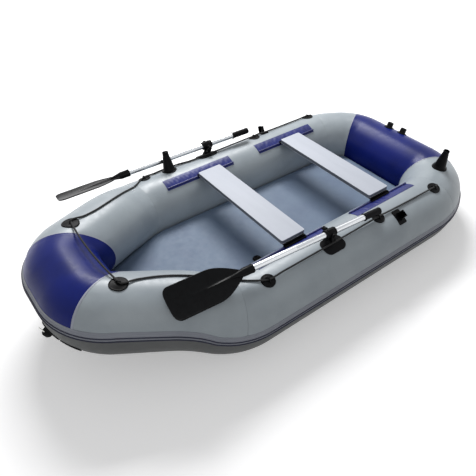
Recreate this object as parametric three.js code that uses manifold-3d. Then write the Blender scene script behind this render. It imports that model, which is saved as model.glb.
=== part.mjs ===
// Inflatable rowing boat: a coated-fabric tube hull with an air floor, two sliding bench seats,
// two oars stowed in swivelling locks, a grab line in its eyelets, and the fittings on the tube.
// Millimetres. +X points to the bow, +Y to port and +Z up.
// The origin lies on the flat bottom, at mid-length and on the centreline.

import * as THREE from 'three';
import { mergeVertices } from 'three/addons/utils/BufferGeometryUtils.js';
import Module from 'manifold-3d';

// Clearances that every piece shares
const seamGap = 0.3;
const overrun = 2;
const footReachShare = 0.33;
const cornerSteps = 4;
const fineSteps = 3;
const smallSteps = 2;
const pinSides = 12;
const wireSides = 8;

// Hull tube: one ring of constant section, led round the corners of its port centreline
const tubeRadius = 175;
const tubeWall = 1.2;
const sternAxisX = -1077;
const sternCornerY = 332;
const aftCornerX = -848;
const sideAxisY = 465;
const foreCornerX = 544;
const riseCornerX = 703;
const riseCornerY = 369;
const riseCornerLift = 77;
const bowAxisX = 1081;
const bowCornerY = 176;
const bowLift = 133;
const sternInnerBend = 19;
const aftInnerBend = 265;
const foreInnerBend = 102;
const riseInnerBend = 547;
const bowInnerBend = 3;
const sharedLegShare = 0.49;
const endLegShare = 0.95;
const tubeFacets = 20;
const bendSteps = [4, 2, 2, 2, 4];

// Bow seam between the coloured panel and the plain one, a slanted cut
const bowSeamShare = 0.25;
const bowSeamAngle = -67.4;
const bowSeamTilt = -1.9;

// Bottom panel, the wear band that goes up the tube, and the rubbing strake
const bottomFabric = 1.2;
const skinGap = 0.6;
const bottomEdgeAngle = 252;
const strakeAngles = [178.5, 178.5, 177, 171.5, 167];
const strakeBedGap = 0.9;
const strakeTop = 14;
const strakeBottom = 22;
const strakeBand = 3;
const pipingHeight = 8;
const pipingHalfWidth = 3;
const pipingPitch = 15;

// Air floor
const floorTopHeight = 153;
const floorSideGap = 2;
const floorWall = 1.2;
const floorTuck = 85;
const floorFrontX = 950;
const floorValveX = 200;
const floorValveY = 215;

// Seats, and the bead tracks that they slide on
const seatOverBead = 12.6;
const seatThickness = 22;
const seatEndInset = 12.7;
const seatWidth = 148;
const seatCorner = 9;
const seatEdge = 2.5;
const seatCentres = { fore: 99, aft: -511 };
const trackCentres = { fore: 143, aft: -503 };
const trackLength = 450;
const trackFabric = 2;
const trackTopAngle = 79;
const trackLowAngle = 56;
const beadAngle = 60;
const beadRadius = 5;
const beadSinkShare = 0.85;
const clipRunGap = 0.6;
const clipWall = 3.9;
const clipMouthAngle = 75;
const clipLength = 138;
const clipPlateWidth = 46;
const clipPlateThickness = 3.5;
const hookSteps = 7;

// Eyelets and the line through them; angles go round the tube from its inboard side over the top
const eyeletPadThickness = 3;
const eyeletPadRadius = 35;
const bowEyeletPadRadius = 40;
const eyeWidth = 34;
const eyeHeight = 18;
const eyeThickness = 7;
const eyeSlotWidth = 22;
const eyeSlotHeight = 11.4;
const eyeSlotSill = 4.2;
const eyeSink = 1;
const eyeShoulderShare = 0.5;
const ropeRadius = 4.4;
const ropeSides = 8;
const ropeRestGap = 1.4;
const padSides = 12;
const eyelets = {
  port_bow: { x: 971, angle: 90, turn: 65 },
  port_fore: { x: 376, angle: 104, turn: 4 },
  port_aft: { x: -353, angle: 102, turn: 0 },
  port_end: { x: -792, angle: 106, turn: 8 },
  starboard_bow: { x: 974, angle: 90, turn: 65 },
  starboard_fore: { x: 428, angle: 111, turn: 0 },
  starboard_aft: { x: -345, angle: 105, turn: 0 },
  starboard_end: { x: -790, angle: 106, turn: 8 },
};
// Between the eyelets the line lies on the tube; each entry is x, angle and extra height
const portLineOverBow = [
  [905, 84, 0], [850, 80, 0], [790, 78, 0], [730, 77, 1], [680, 76, 3],
  [640, 75, 3], [600, 75, 2], [550, 77, 1], [490, 84, 1], [430, 94, 1],
];
const starboardLineOverBow = [
  [905, 85, 0], [850, 82, 0], [790, 81, 0], [730, 81, 1], [680, 82, 3],
  [640, 83, 3], [600, 86, 2], [540, 93, 1], [480, 103, 1],
];
const starboardLineRoundHolder = [
  [360, 117, 0], [310, 121.5, 0], [275, 122.5, 0], [240, 121.5, 0], [190, 116, 0], [120, 107, 3],
];
const lineTailLength = 30;

// Oarlocks: pad with a socket, swivel yoke, and the ring that clamps the oar
const lockPadLength = 130;
const lockPadWidth = 90;
const lockPadCorner = 34;
const lockPadThickness = 4;
const lockBossRadius = 17;
const lockPlinthRadius = 20;
const lockPlinthHeight = 8;
const lockPinRadius = 6.5;
const lockPinLength = 14;
const lockPinGap = 0.5;
const lockFloor = 1.5;
const yokePlateRadius = 19;
const yokePlateThickness = 6;
const yokeRingGap = 3;
const yokeArmThickness = 8;
const yokeArmWidth = 26;
const yokeArmGap = 2.5;
const armSteps = 6;
const ringRadius = 23;
const ringLength = 62;
const ringLip = 2;
const trunnionRadius = 5;
const trunnionHeadRadius = 8.5;
const trunnionHeadLength = 5;
const knobRadius = 11;
const knobLength = 14;
const knobLobes = 5;
const knobLobePoints = 3;
const knobNotch = 1.7;

// Oars, measured along the shaft from the end of the grip; a lock's rise is counted from the tube's top
const oarLength = 1200;
const gripLength = 112;
const gripWall = 1.8;
const gripFlange = 2.2;
const gripEndWall = 6;
const shaftRadius = 15;
const shaftWall = 1.8;
const shaftFitGap = 0.35;
const jointAt = 544;
const spigotLength = 62;
const spigotWall = 1.6;
const buttonRadius = 4;
const buttonBoreGap = 0.5;
const buttonProud = 1.6;
const buttonFlange = 1.8;
const buttonFlangeThickness = 1.5;
const buttonInset = 26;
const buttonSeatGap = 0.6;
const socketAt = 788;
const socketWall = 4.2;
const socketDepth = 50;
const bladeRootAt = 850;
const bladeHalfWidth = 78;
const bladeCorner = 34;
const bladeThickness = 4.5;
const bladeDish = 7;
const bladeRibHeight = 9;
const bladeRibEndShare = 0.76;
const bladeShoulderShare = 0.42;
const bladeRootShare = 0.26;
const bladeSpineHalf = 4.5;
const bladeConeShare = 0.2;
const bladeShares = [
  0, 0.1, bladeConeShare, 0.31, bladeShoulderShare, bladeRibEndShare, 0.905, 0.945, 0.98, 1,
];
const acrossShares = [-1, -0.55, -0.14, 0, 0.14, 0.55, 1];
const shaftSides = 14;
const oars = {
  port: { lockX: -20, lockOut: 16, lockRise: 50.18, along: [1, -0.045, 0.037], lockAt: 338, bladeTilt: 26 },
  starboard: {
    lockX: -8, lockOut: 78, lockRise: 43.18, along: [1, 0.089, -0.045], lockAt: 290, bladeTilt: 21,
  },
};
const lockPads = {
  port: { x: -25, angle: 104 },
  starboard: { x: 6, angle: 111 },
};

// Rod holders: hollow cones on a round foot
const holderHeight = 112;
const holderFootRadius = 43;
const holderFootThickness = 4;
const holderSkirtRadius = 35;
const holderWaistShare = 0.34;
const holderWaistRadius = 24;
const holderMouthRadius = 17.5;
const holderBoreRadius = 13.5;
const holderBoreDepth = 88;
const holderCollar = 8.75;
const holderStep = 8;
const holderSides = 14;
const rodHolders = {
  port: { x: -982, angle: 96 },
  starboard: { x: 275, angle: 105 },
};

// Oar clips: two springy prongs on a rectangular foot
const clipFootLength = 54;
const clipFootAround = 82;
const clipFootCorner = 8;
const clipFootThickness = 3;
const prongHeight = 44;
const prongWidth = 20;
const prongThickness = 6;
const prongGap = 27;
const prongNeckGap = 22;
const prongThroatShare = 0.7;
const clipSaddle = 8;
const oarClips = {
  port: { x: -465, angle: 119 },
  starboard: { x: -430, angle: 114 },
};

// Motor bracket sockets on the stern
const socketFootRadius = 31;
const socketFootThickness = 3;
const socketBlockWidth = 36;
const socketBlockDepth = 26;
const socketBlockHeight = 34;
const socketSlotWidth = 18;
const socketSlotDepth = 10;
const socketSlotReach = 24;
const motorSockets = {
  port: { y: 7, angle: 113 },
  starboard: { y: -89, angle: 109 },
};

// Towing ring on the bow, and the wear patch beside it; each place is a share of the bow bend
const bandGap = 0.9;
const towPlaceShare = 0.9;
const towAngle = 201;
const towTurn = 90;
const towFootLength = 76;
const towFootAround = 58;
const towFootThickness = 3;
const towBridgeLength = 26;
const towBridgeWidth = 44;
const towBridgeHeight = 34;
const towBridgeCorner = 15;
const towWireRadius = 2.6;
const towWireGap = 0.9;
const towRingHalfWidth = 20;
const towRingReach = 48;
const towRingCorner = 6;
const towRingLean = 12;
const wirePoints = 6;
const wearPatchLength = 56;
const wearPatchAround = 40;
const wearPatchCorner = 12;
const wearPlaceShare = 0.55;
const wearAngle = 205;

// Inflation valves
const valveFlangeRadius = 24;
const valveFlangeThickness = 2.4;
const valveBoreRadius = 11;
const valveThroatRadius = 14.5;
const valveThroatDepth = 20;
const valveWall = 2.2;
const valveCapRadius = 19;
const valveCapHeight = 7;
const valveCapSkirt = 1.2;
const valveSides = 14;
const capThreadGap = 0.6;
const hullValveX = -620;
const hullValveAngle = 37.5;

const finishes = {
  greyFabric: { color: '#aab0b6', roughness: 0.5, metalness: 0 },
  blueFabric: { color: '#17246f', roughness: 0.42, metalness: 0 },
  bottomFabric: { color: '#6d6f70', roughness: 0.6, metalness: 0 },
  strakeRubber: { color: '#5f6373', roughness: 0.5, metalness: 0 },
  floorFabric: { color: '#7c8995', roughness: 0.6, metalness: 0 },
  trackFabric: { color: '#2c3a9a', roughness: 0.5, metalness: 0 },
  seatBoard: { color: '#c3c7d2', roughness: 0.55, metalness: 0 },
  blackPlastic: { color: '#16171a', roughness: 0.45, metalness: 0 },
  blackRubber: { color: '#1b1c1f', roughness: 0.7, metalness: 0 },
  oarTube: { color: '#dfe3e8', roughness: 0.28, metalness: 0.9 },
  blackRope: { color: '#141416', roughness: 0.85, metalness: 0 },
  steel: { color: '#c9c9c6', roughness: 0.25, metalness: 1 },
};

const wasm = await Module();
wasm.setup();

const boat = new THREE.Group();
const axisX = new THREE.Vector3(1, 0, 0);
const axisY = new THREE.Vector3(0, 1, 0);
const axisZ = new THREE.Vector3(0, 0, 1);
const degrees = THREE.MathUtils.degToRad;

// Solids and geometry

// Closed body from shared points and triangles, turned so that its faces point out
function bodyGeometry(points, triangles) {
  let volume = 0;
  for (const [a, b, c] of triangles) {
    const cross = new THREE.Vector3().crossVectors(points[b], points[c]);
    volume += points[a].dot(cross);
  }
  const faces = volume < 0 ? triangles.map(([a, b, c]) => [a, c, b]) : triangles;
  const geometry = new THREE.BufferGeometry();
  geometry.setAttribute('position', new THREE.Float32BufferAttribute(points.flatMap((p) => p.toArray()), 3));
  geometry.setIndex(faces.flat());
  return geometry;
}

function solidFrom(geometry) {
  const bare = geometry.clone();
  bare.deleteAttribute('normal');
  bare.deleteAttribute('uv');
  const merged = mergeVertices(bare);
  const vertProperties = new Float32Array(merged.attributes.position.array);
  const triVerts = new Uint32Array(merged.index.array);
  return new wasm.Manifold(new wasm.Mesh({ numProp: 3, vertProperties, triVerts }));
}

function geometryFrom(solid) {
  const { vertProperties, triVerts } = solid.getMesh();
  const geometry = new THREE.BufferGeometry();
  geometry.setAttribute('position', new THREE.Float32BufferAttribute(vertProperties, 3));
  geometry.setIndex(Array.from(triVerts));
  return geometry;
}

function movedSolid(geometry, matrix) {
  return solidFrom(geometry.clone().applyMatrix4(matrix));
}

// The same geometry on the other side of the centreline
function mirrored(geometry) {
  const copy = geometry.clone();
  copy.applyMatrix4(new THREE.Matrix4().makeScale(1, -1, 1));
  const index = Array.from(copy.index.array);
  for (let i = 0; i < index.length; i += 3) {
    [index[i + 1], index[i + 2]] = [index[i + 2], index[i + 1]];
  }
  copy.setIndex(index);
  return copy;
}

function addPiece(name, geometry, finish) {
  const bare = geometry.index ? geometry : mergeVertices(geometry);
  const shown = bare.toNonIndexed();
  shown.computeVertexNormals();
  const piece = new THREE.Mesh(shown, new THREE.MeshStandardMaterial(finishes[finish]));
  piece.name = name;
  boat.add(piece);
}

// A piece that is drawn for port and mirrored for starboard
function addOnSide(side, name, geometry, finish) {
  addPiece(`${side}_${name}`, side === 'port' ? geometry : mirrored(geometry), finish);
}

// Solid between successive rings of points; a closed loop joins the last ring to the first
function loft(rings, closedLoop) {
  const count = rings[0].length;
  const triangles = [];
  const spans = closedLoop ? rings.length : rings.length - 1;
  for (let i = 0; i < spans; i += 1) {
    const here = i * count;
    const next = ((i + 1) % rings.length) * count;
    for (let j = 0; j < count; j += 1) {
      const k = (j + 1) % count;
      triangles.push([here + j, here + k, next + k], [here + j, next + k, next + j]);
    }
  }
  if (!closedLoop) {
    const last = (rings.length - 1) * count;
    for (let j = 1; j < count - 1; j += 1) {
      triangles.push([0, j + 1, j], [last, last + j, last + j + 1]);
    }
  }
  return bodyGeometry(rings.flat(), triangles);
}

// Thin closed body between two matching grids of points, given their faces and their outer edge
function sheet(inner, outer, quads, edge) {
  const shift = inner.length;
  const triangles = [];
  for (const [a, b, c, d] of quads) {
    triangles.push([a, b, c], [a, c, d]);
    triangles.push([shift + a, shift + c, shift + b], [shift + a, shift + d, shift + c]);
  }
  edge.forEach((a, i) => {
    const b = edge[(i + 1) % edge.length];
    triangles.push([a, shift + b, b], [a, shift + a, shift + b]);
  });
  return bodyGeometry([...inner, ...outer], triangles);
}

function roundedRectangle(width, height, corner) {
  const x = width / 2;
  const y = height / 2;
  const r = Math.min(corner, x, y);
  const shape = new THREE.Shape();
  shape.moveTo(x, -y + r);
  shape.lineTo(x, y - r);
  shape.absarc(x - r, y - r, r, 0, Math.PI / 2, false);
  shape.lineTo(-x + r, y);
  shape.absarc(-x + r, y - r, r, Math.PI / 2, Math.PI, false);
  shape.lineTo(-x, -y + r);
  shape.absarc(-x + r, -y + r, r, Math.PI, Math.PI * 1.5, false);
  shape.lineTo(x - r, -y);
  shape.absarc(x - r, -y + r, r, Math.PI * 1.5, Math.PI * 2, false);
  return shape;
}

function polygonShape(points) {
  return new THREE.Shape(points.map(([x, y]) => new THREE.Vector2(x, y)));
}

function disc(radius, sides) {
  const points = [];
  for (let i = 0; i < sides; i += 1) {
    const turn = (i * 2 * Math.PI) / sides;
    points.push([radius * Math.cos(turn), radius * Math.sin(turn)]);
  }
  return polygonShape(points);
}

// Outline extruded along its local Z between two heights
function prism(shape, low, high, curveSegments = cornerSteps) {
  const geometry = new THREE.ExtrudeGeometry(shape, { depth: high - low, bevelEnabled: false, curveSegments });
  return geometry.translate(0, 0, low);
}

// Revolved outline of radius and height pairs, with its axis on Z
function turned(profile, sides) {
  const points = profile.map(([r, z]) => new THREE.Vector2(r, z));
  if (THREE.ShapeUtils.isClockWise(points)) {
    points.reverse();
  }
  return new THREE.LatheGeometry(points, sides).rotateX(Math.PI / 2);
}

function rod(radius, low, high, sides) {
  return prism(disc(radius, sides), low, high);
}

// Local frame whose X, Y and Z axes are the given directions
function frame(x, y, z, origin) {
  return new THREE.Matrix4().makeBasis(x, y, z).setPosition(origin);
}

// Maps an outline drawn in Y and Z, extruded along its local Z, on to the boat's X
const alongX = frame(axisY, axisZ, axisX, new THREE.Vector3());

// Hull path: port stations from the stern corner to the bow corner

const facetStep = 360 / tubeFacets;
const facetHalf = degrees(facetStep / 2);
// Corner radius of the faceted tube whose flats lie the given offset outside the hull's own
const cornerRadius = (offset) => tubeRadius + offset / Math.cos(facetHalf);
const axisHeight = cornerRadius(skinGap + bottomFabric);

const pathCorners = [
  new THREE.Vector3(sternAxisX, 0, axisHeight),
  new THREE.Vector3(sternAxisX, sternCornerY, axisHeight),
  new THREE.Vector3(aftCornerX, sideAxisY, axisHeight),
  new THREE.Vector3(foreCornerX, sideAxisY, axisHeight),
  new THREE.Vector3(riseCornerX, riseCornerY, axisHeight + riseCornerLift),
  new THREE.Vector3(bowAxisX, bowCornerY, axisHeight + bowLift),
  new THREE.Vector3(bowAxisX, 0, axisHeight + bowLift),
];
const bendRadii = [sternInnerBend, aftInnerBend, foreInnerBend, riseInnerBend, bowInnerBend]
  .map((inner) => tubeRadius + inner);

// Stations on a circular bend round one corner, the middle one marked with the corner's number
function bendStations(corner) {
  const [before, here, after] = pathCorners.slice(corner - 1, corner + 2);
  const legIn = new THREE.Vector3().subVectors(here, before);
  const legOut = new THREE.Vector3().subVectors(after, here);
  const roomIn = legIn.length() * (corner === 1 ? endLegShare : sharedLegShare);
  const roomOut = legOut.length() * (corner === bendRadii.length ? endLegShare : sharedLegShare);
  const u = legIn.normalize();
  const w = legOut.normalize();
  const turn = u.angleTo(w);
  const cut = Math.min(bendRadii[corner - 1] * Math.tan(turn / 2), roomIn, roomOut);
  const radius = cut / Math.tan(turn / 2);
  const side = w.clone().addScaledVector(u, -Math.cos(turn)).normalize();
  const start = here.clone().addScaledVector(u, -cut);
  const steps = bendSteps[corner - 1];
  const stations = [];
  for (let i = 0; i <= steps; i += 1) {
    const a = (turn * i) / steps;
    const point = start.clone().addScaledVector(u, radius * Math.sin(a));
    point.addScaledVector(side, radius * (1 - Math.cos(a)));
    const tangent = u.clone().multiplyScalar(Math.cos(a)).addScaledVector(side, Math.sin(a));
    stations.push({ point, tangent, corner, share: i / steps });
  }
  return stations;
}

const portStations = [1, 2, 3, 4, 5].flatMap(bendStations);

function mirroredStation({ point, tangent }) {
  return {
    point: new THREE.Vector3(point.x, -point.y, point.z),
    tangent: new THREE.Vector3(-tangent.x, tangent.y, -tangent.z),
  };
}

const starboardStations = portStations.map(mirroredStation).reverse();
const loopStations = [...portStations, ...starboardStations];
const stationAt = (corner, share) => portStations.findIndex((s) => s.corner === corner && s.share >= share);

// Directions across the tube: inboard and upward
function crossAxes(tangent) {
  const inboard = new THREE.Vector3().crossVectors(tangent, axisZ).normalize();
  const up = new THREE.Vector3().crossVectors(inboard, tangent);
  return { inboard, up };
}

// Point at an angle round the faceted tube, an offset above its flats
function tubePoint(station, angle, offset) {
  const { inboard, up } = crossAxes(station.tangent);
  const fromFlat = degrees((((angle % facetStep) + facetStep) % facetStep) - facetStep / 2);
  const radius = (cornerRadius(offset) * Math.cos(facetHalf)) / Math.cos(fromFlat);
  const point = station.point.clone().addScaledVector(inboard, radius * Math.cos(degrees(angle)));
  return point.addScaledVector(up, radius * Math.sin(degrees(angle)));
}

function tubeRing(station, offset, shift = 0) {
  const ring = [];
  for (let j = 0; j < tubeFacets; j += 1) {
    ring.push(tubePoint(station, j * facetStep, offset).addScaledVector(station.tangent, shift));
  }
  return ring;
}

// The whole hull ring as one solid, offset outward; pads are cut to it
const loopSolids = new Map();
function loopSolid(offset) {
  if (!loopSolids.has(offset)) {
    const rings = loopStations.map((station) => tubeRing(station, offset));
    loopSolids.set(offset, solidFrom(loft(rings, true)));
  }
  return loopSolids.get(offset);
}

// Place on the tube at fractional station number s, or at a position on the straight stern
function placeAt(s) {
  const i = Math.min(Math.floor(s), portStations.length - 2);
  const a = portStations[i];
  const b = portStations[i + 1];
  return { a, b, share: s - i };
}

function placeAtX(x) {
  const i = portStations.findIndex((station, n) => n > 0 && station.point.x >= x) - 1;
  const a = portStations[i];
  const b = portStations[i + 1];
  return { a, b, share: (x - a.point.x) / (b.point.x - a.point.x) };
}

function placeOnStern(y) {
  const point = new THREE.Vector3(sternAxisX, y, axisHeight);
  const station = { point, tangent: axisY };
  return { a: station, b: station, share: 0 };
}

// Place at a share of the bow bend
const placeOnBow = (share) => {
  const bow = bendSteps.length;
  return placeAt(stationAt(bow, 0) + share * bendSteps[bow - 1]);
};

function surfacePoint({ a, b, share }, angle, offset) {
  return tubePoint(a, angle, offset).lerp(tubePoint(b, angle, offset), share);
}

// Local frame on the tube: X along it, Y round it, Z straight out, turned about Z where asked
function surfaceFrame(place, angle, turn = 0) {
  const tangent = place.a.tangent.clone().lerp(place.b.tangent, place.share).normalize();
  const { inboard, up } = crossAxes(tangent);
  const out = inboard.clone().multiplyScalar(Math.cos(degrees(angle)));
  out.addScaledVector(up, Math.sin(degrees(angle)));
  const around = new THREE.Vector3().crossVectors(out, tangent);
  const base = frame(tangent, around, out, surfacePoint(place, angle, 0));
  return base.multiply(new THREE.Matrix4().makeRotationZ(degrees(turn)));
}

// Flexible foot of a fitting: an outline wrapped on the tube, or on what covers it, with one thickness
function wrappedFoot(shape, at, thickness, curveSegments = cornerSteps, base = seamGap) {
  const reach = tubeRadius * footReachShare;
  const block = movedSolid(prism(shape, -reach, reach, curveSegments), at);
  return block.intersect(loopSolid(base + thickness));
}

const clearOfTube = (solid, base = seamGap) => solid.subtract(loopSolid(base));

// Hull tube panels: thin walls, open at the seams where one meets the next

function tubeShell(stations, startShift, endShift) {
  const last = stations.length - 1;
  const shiftOf = (i) => (i === 0 ? startShift : i === last ? endShift : 0);
  const outer = stations.map((station, i) => tubeRing(station, 0, shiftOf(i)));
  const inner = stations.map((station, i) => tubeRing(station, -tubeWall, shiftOf(i)));
  const points = [...outer.flat(), ...inner.flat()];
  const inside = outer.length * tubeFacets;
  const triangles = [];
  for (let j = 0; j < tubeFacets; j += 1) {
    const k = (j + 1) % tubeFacets;
    for (let i = 0; i < last; i += 1) {
      const here = i * tubeFacets;
      const next = here + tubeFacets;
      triangles.push([here + j, here + k, next + k], [here + j, next + k, next + j]);
      triangles.push([inside + here + j, inside + next + k, inside + here + k]);
      triangles.push([inside + here + j, inside + next + j, inside + next + k]);
    }
    const end = last * tubeFacets;
    triangles.push([j, inside + k, k], [j, inside + j, inside + k]);
    triangles.push([end + j, end + k, inside + end + k], [end + j, inside + end + k, inside + end + j]);
  }
  return bodyGeometry(points, triangles);
}

// Box that removes everything on one side of the bow seam
function bowSeamCutter(keepBow) {
  const place = placeOnBow(bowSeamShare);
  const point = place.a.point.clone().lerp(place.b.point, place.share);
  const side = new THREE.Vector3(Math.cos(degrees(bowSeamAngle)), Math.sin(degrees(bowSeamAngle)), 0);
  const normal = side.multiplyScalar(Math.cos(degrees(bowSeamTilt)));
  normal.z = Math.sin(degrees(bowSeamTilt));
  const size = bowAxisX - sternAxisX;
  const across = new THREE.Vector3().crossVectors(axisZ, normal).normalize();
  const upward = new THREE.Vector3().crossVectors(normal, across);
  const sign = keepBow ? -1 : 1;
  const centre = point.clone().addScaledVector(normal, sign * (size - seamGap) / 2);
  return new THREE.BoxGeometry(size, size, size).applyMatrix4(frame(normal, across, upward, centre));
}

const sternSeam = stationAt(1, 0.5);
const aftSeam = stationAt(2, 0.5);
const foreSeam = stationAt(3, 0.5);
const riseMiddle = stationAt(4, 0.5);
const halfSeam = seamGap / 2;

function buildTubePanels() {
  const sternHalf = portStations.slice(0, sternSeam + 1);
  const sternLoop = [...sternHalf.map(mirroredStation).reverse(), ...sternHalf];
  addPiece('stern_tube', tubeShell(sternLoop, halfSeam, -halfSeam), 'blueFabric');

  const corner = tubeShell(portStations.slice(sternSeam, aftSeam + 1), halfSeam, -halfSeam);
  const side = tubeShell(portStations.slice(aftSeam, foreSeam + 1), halfSeam, -halfSeam);
  const longQuarter = tubeShell(portStations.slice(foreSeam), halfSeam, 0);
  const quarter = geometryFrom(solidFrom(longQuarter).subtract(solidFrom(bowSeamCutter(false))));
  for (const name of ['port', 'starboard']) {
    addOnSide(name, 'stern_corner_tube', corner, 'greyFabric');
    addOnSide(name, 'side_tube', side, 'greyFabric');
    addOnSide(name, 'bow_quarter_tube', quarter, 'greyFabric');
  }

  const bowHalf = portStations.slice(riseMiddle);
  const bowLoop = [...bowHalf, ...bowHalf.map(mirroredStation).reverse()];
  const cutter = bowSeamCutter(true);
  const bow = solidFrom(tubeShell(bowLoop, 0, 0))
    .subtract(solidFrom(cutter))
    .subtract(solidFrom(mirrored(cutter)));
  addPiece('bow_tube', geometryFrom(bow), 'blueFabric');
}

// Rubbing strake: a band round the hull with two raised piping lines

const angleOfWidth = (width) => THREE.MathUtils.radToDeg(width / tubeRadius);

function strakeAngleAt(station, index) {
  const last = strakeAngles.length;
  if (station.share < 1 || station.corner === last) {
    return strakeAngles[station.corner - 1];
  }
  return (strakeAngles[station.corner - 1] + strakeAngles[station.corner]) / 2;
}

const strakeCentres = portStations.map(strakeAngleAt);
const loopStrakeCentres = [...strakeCentres, ...[...strakeCentres].reverse()];

// The tube's widest corner, held inside the span that a band covers
const wideCorner = (low, high) => {
  const margin = angleOfWidth(overrun);
  return THREE.MathUtils.clamp(180, low + margin, high - margin);
};

function buildStrake() {
  const rings = loopStations.map((station, i) => {
    const at = (distance) => loopStrakeCentres[i] + angleOfWidth(distance);
    const point = (distance, height) => tubePoint(station, at(distance), strakeBedGap + height);
    const pipe = (middle) => [
      point(middle - pipingHalfWidth, strakeBand),
      point(middle - pipingHalfWidth / 2, pipingHeight),
      point(middle + pipingHalfWidth / 2, pipingHeight),
      point(middle + pipingHalfWidth, strakeBand),
    ];
    return [
      point(-strakeTop, 0),
      point(-strakeTop, strakeBand / 2),
      ...pipe(0),
      ...pipe(pipingPitch),
      point(strakeBottom, strakeBand / 2),
      point(strakeBottom, 0),
      tubePoint(station, wideCorner(at(-strakeTop), at(strakeBottom)), strakeBedGap),
    ];
  });
  addPiece('rub_strake', loft(rings, true), 'strakeRubber');
}

// Wear band: the bottom fabric's upstand, from the strake down to the bottom panel
function buildWearBand() {
  const rings = loopStations.map((station, i) => {
    const top = loopStrakeCentres[i] + angleOfWidth(strakeBottom + seamGap);
    const rows = [[top, strakeBedGap], [wideCorner(top, top + facetStep), strakeBedGap]];
    for (let angle = 180 + facetStep; angle <= bottomEdgeAngle; angle += facetStep) {
      rows.push([angle, skinGap]);
    }
    const inner = rows.map(([angle, offset]) => tubePoint(station, angle, offset));
    const outer = rows.map(([angle, offset]) => tubePoint(station, angle, offset + bottomFabric));
    return [...inner, ...outer.reverse()];
  });
  addPiece('bottom_wear_band', loft(rings, true), 'bottomFabric');
}

// Bottom panel: flat between the tubes, turned up a little round them, rising to the bow
function buildBottom() {
  const edge = bottomEdgeAngle + angleOfWidth(seamGap);
  const grid = (offset) => portStations.flatMap((station) => {
    const other = mirroredStation(station);
    return [
      tubePoint(station, edge, offset),
      tubePoint(station, 270, offset),
      tubePoint(other, 270, offset),
      tubePoint(other, edge, offset),
    ];
  });
  const rows = portStations.length;
  const quads = [];
  for (let i = 0; i < rows - 1; i += 1) {
    for (let j = 0; j < 3; j += 1) {
      quads.push([4 * i + j, 4 * i + j + 1, 4 * i + j + 5, 4 * i + j + 4]);
    }
  }
  const bow = 4 * (rows - 1);
  quads.push([3, 2, 1, 0], [bow, bow + 1, bow + 2, bow + 3]);
  const portEdge = portStations.map((station, i) => 4 * i).reverse();
  const starboardEdge = portStations.map((station, i) => 4 * i + 3);
  const panel = sheet(grid(skinGap), grid(skinGap + bottomFabric), quads, [...portEdge, ...starboardEdge]);
  addPiece('bottom_panel', panel, 'bottomFabric');
}

// Air floor: a mat that fills the space between the tubes, hollow, open only at its valve

function floorBlock(inset) {
  const lower = portStations.map((station) => {
    const point = tubePoint(station, 270, skinGap);
    return [point.x, point.z + seamGap + inset];
  });
  const frontX = floorFrontX - inset;
  const behind = lower.filter(([x]) => x < frontX);
  const ahead = lower.find(([x]) => x >= frontX);
  const [lastX, lastZ] = behind[behind.length - 1];
  const frontZ = lastZ + ((ahead[1] - lastZ) * (frontX - lastX)) / (ahead[0] - lastX);
  const top = floorTopHeight - inset;
  const sternX = sternAxisX + floorTuck + inset;
  const profile = [
    [sternX, behind[0][1]],
    ...behind.filter(([x]) => x > sternX),
    [frontX, frontZ],
    [frontX, top],
    [sternX, top],
  ];
  const upright = frame(axisX, axisZ, axisY.clone().negate(), new THREE.Vector3());
  const side = movedSolid(prism(polygonShape(profile), -sideAxisY, sideAxisY), upright);
  const plan = pathCorners.slice(1, 6).map((corner, i) => {
    const station = portStations[stationAt(i + 1, 0.5)];
    const { inboard } = crossAxes(station.tangent);
    return [corner.x + inboard.x * (floorTuck + inset), corner.y + inboard.y * (floorTuck + inset)];
  });
  const outline = [...plan, ...plan.map(([x, y]) => [x, -y]).reverse()];
  const block = solidFrom(prism(polygonShape(outline), -overrun, floorTopHeight + overrun));
  return side.intersect(block).subtract(loopSolid(floorSideGap + inset));
}

function buildFloor() {
  const holeRadius = (valveThroatRadius + seamGap) / Math.cos(Math.PI / valveSides);
  const hole = rod(holeRadius, floorTopHeight / 2, floorTopHeight + overrun, valveSides)
    .translate(floorValveX, floorValveY, 0);
  const mat = floorBlock(0).subtract(floorBlock(floorWall)).subtract(solidFrom(hole));
  addPiece('air_floor', geometryFrom(mat), 'floorFabric');
}

// Seats: track on the tube, and board with a clip under each end

const sideStation = { point: new THREE.Vector3(0, sideAxisY, axisHeight), tangent: axisX };
const beadOffset = seamGap + trackFabric;
const beadSeat = tubePoint(sideStation, beadAngle, beadOffset);
const beadY = beadSeat.y - beadRadius * beadSinkShare * Math.cos(degrees(beadAngle));
const beadZ = beadSeat.z + beadRadius * beadSinkShare * Math.sin(degrees(beadAngle));
const seatUnderside = beadZ + seatOverBead;
const seatLength = 2 * (beadY - seatEndInset);

function trackGeometry(centre) {
  const angles = [trackLowAngle];
  for (let angle = 0; angle < trackTopAngle; angle += facetStep) {
    if (angle > trackLowAngle) {
      angles.push(angle);
    }
  }
  angles.push(trackTopAngle);
  const across = (offset) => angles.map((angle) => {
    const point = tubePoint(sideStation, angle, offset);
    return [point.y, point.z];
  });
  const strip = prism(polygonShape([...across(seamGap), ...across(beadOffset).reverse()]), 0, trackLength);
  const bead = rod(beadRadius, 0, trackLength, wireSides).translate(beadY, beadZ, 0);
  const track = solidFrom(strip).add(solidFrom(bead));
  return geometryFrom(track).applyMatrix4(alongX).translate(centre - trackLength / 2, 0, 0);
}

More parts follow.
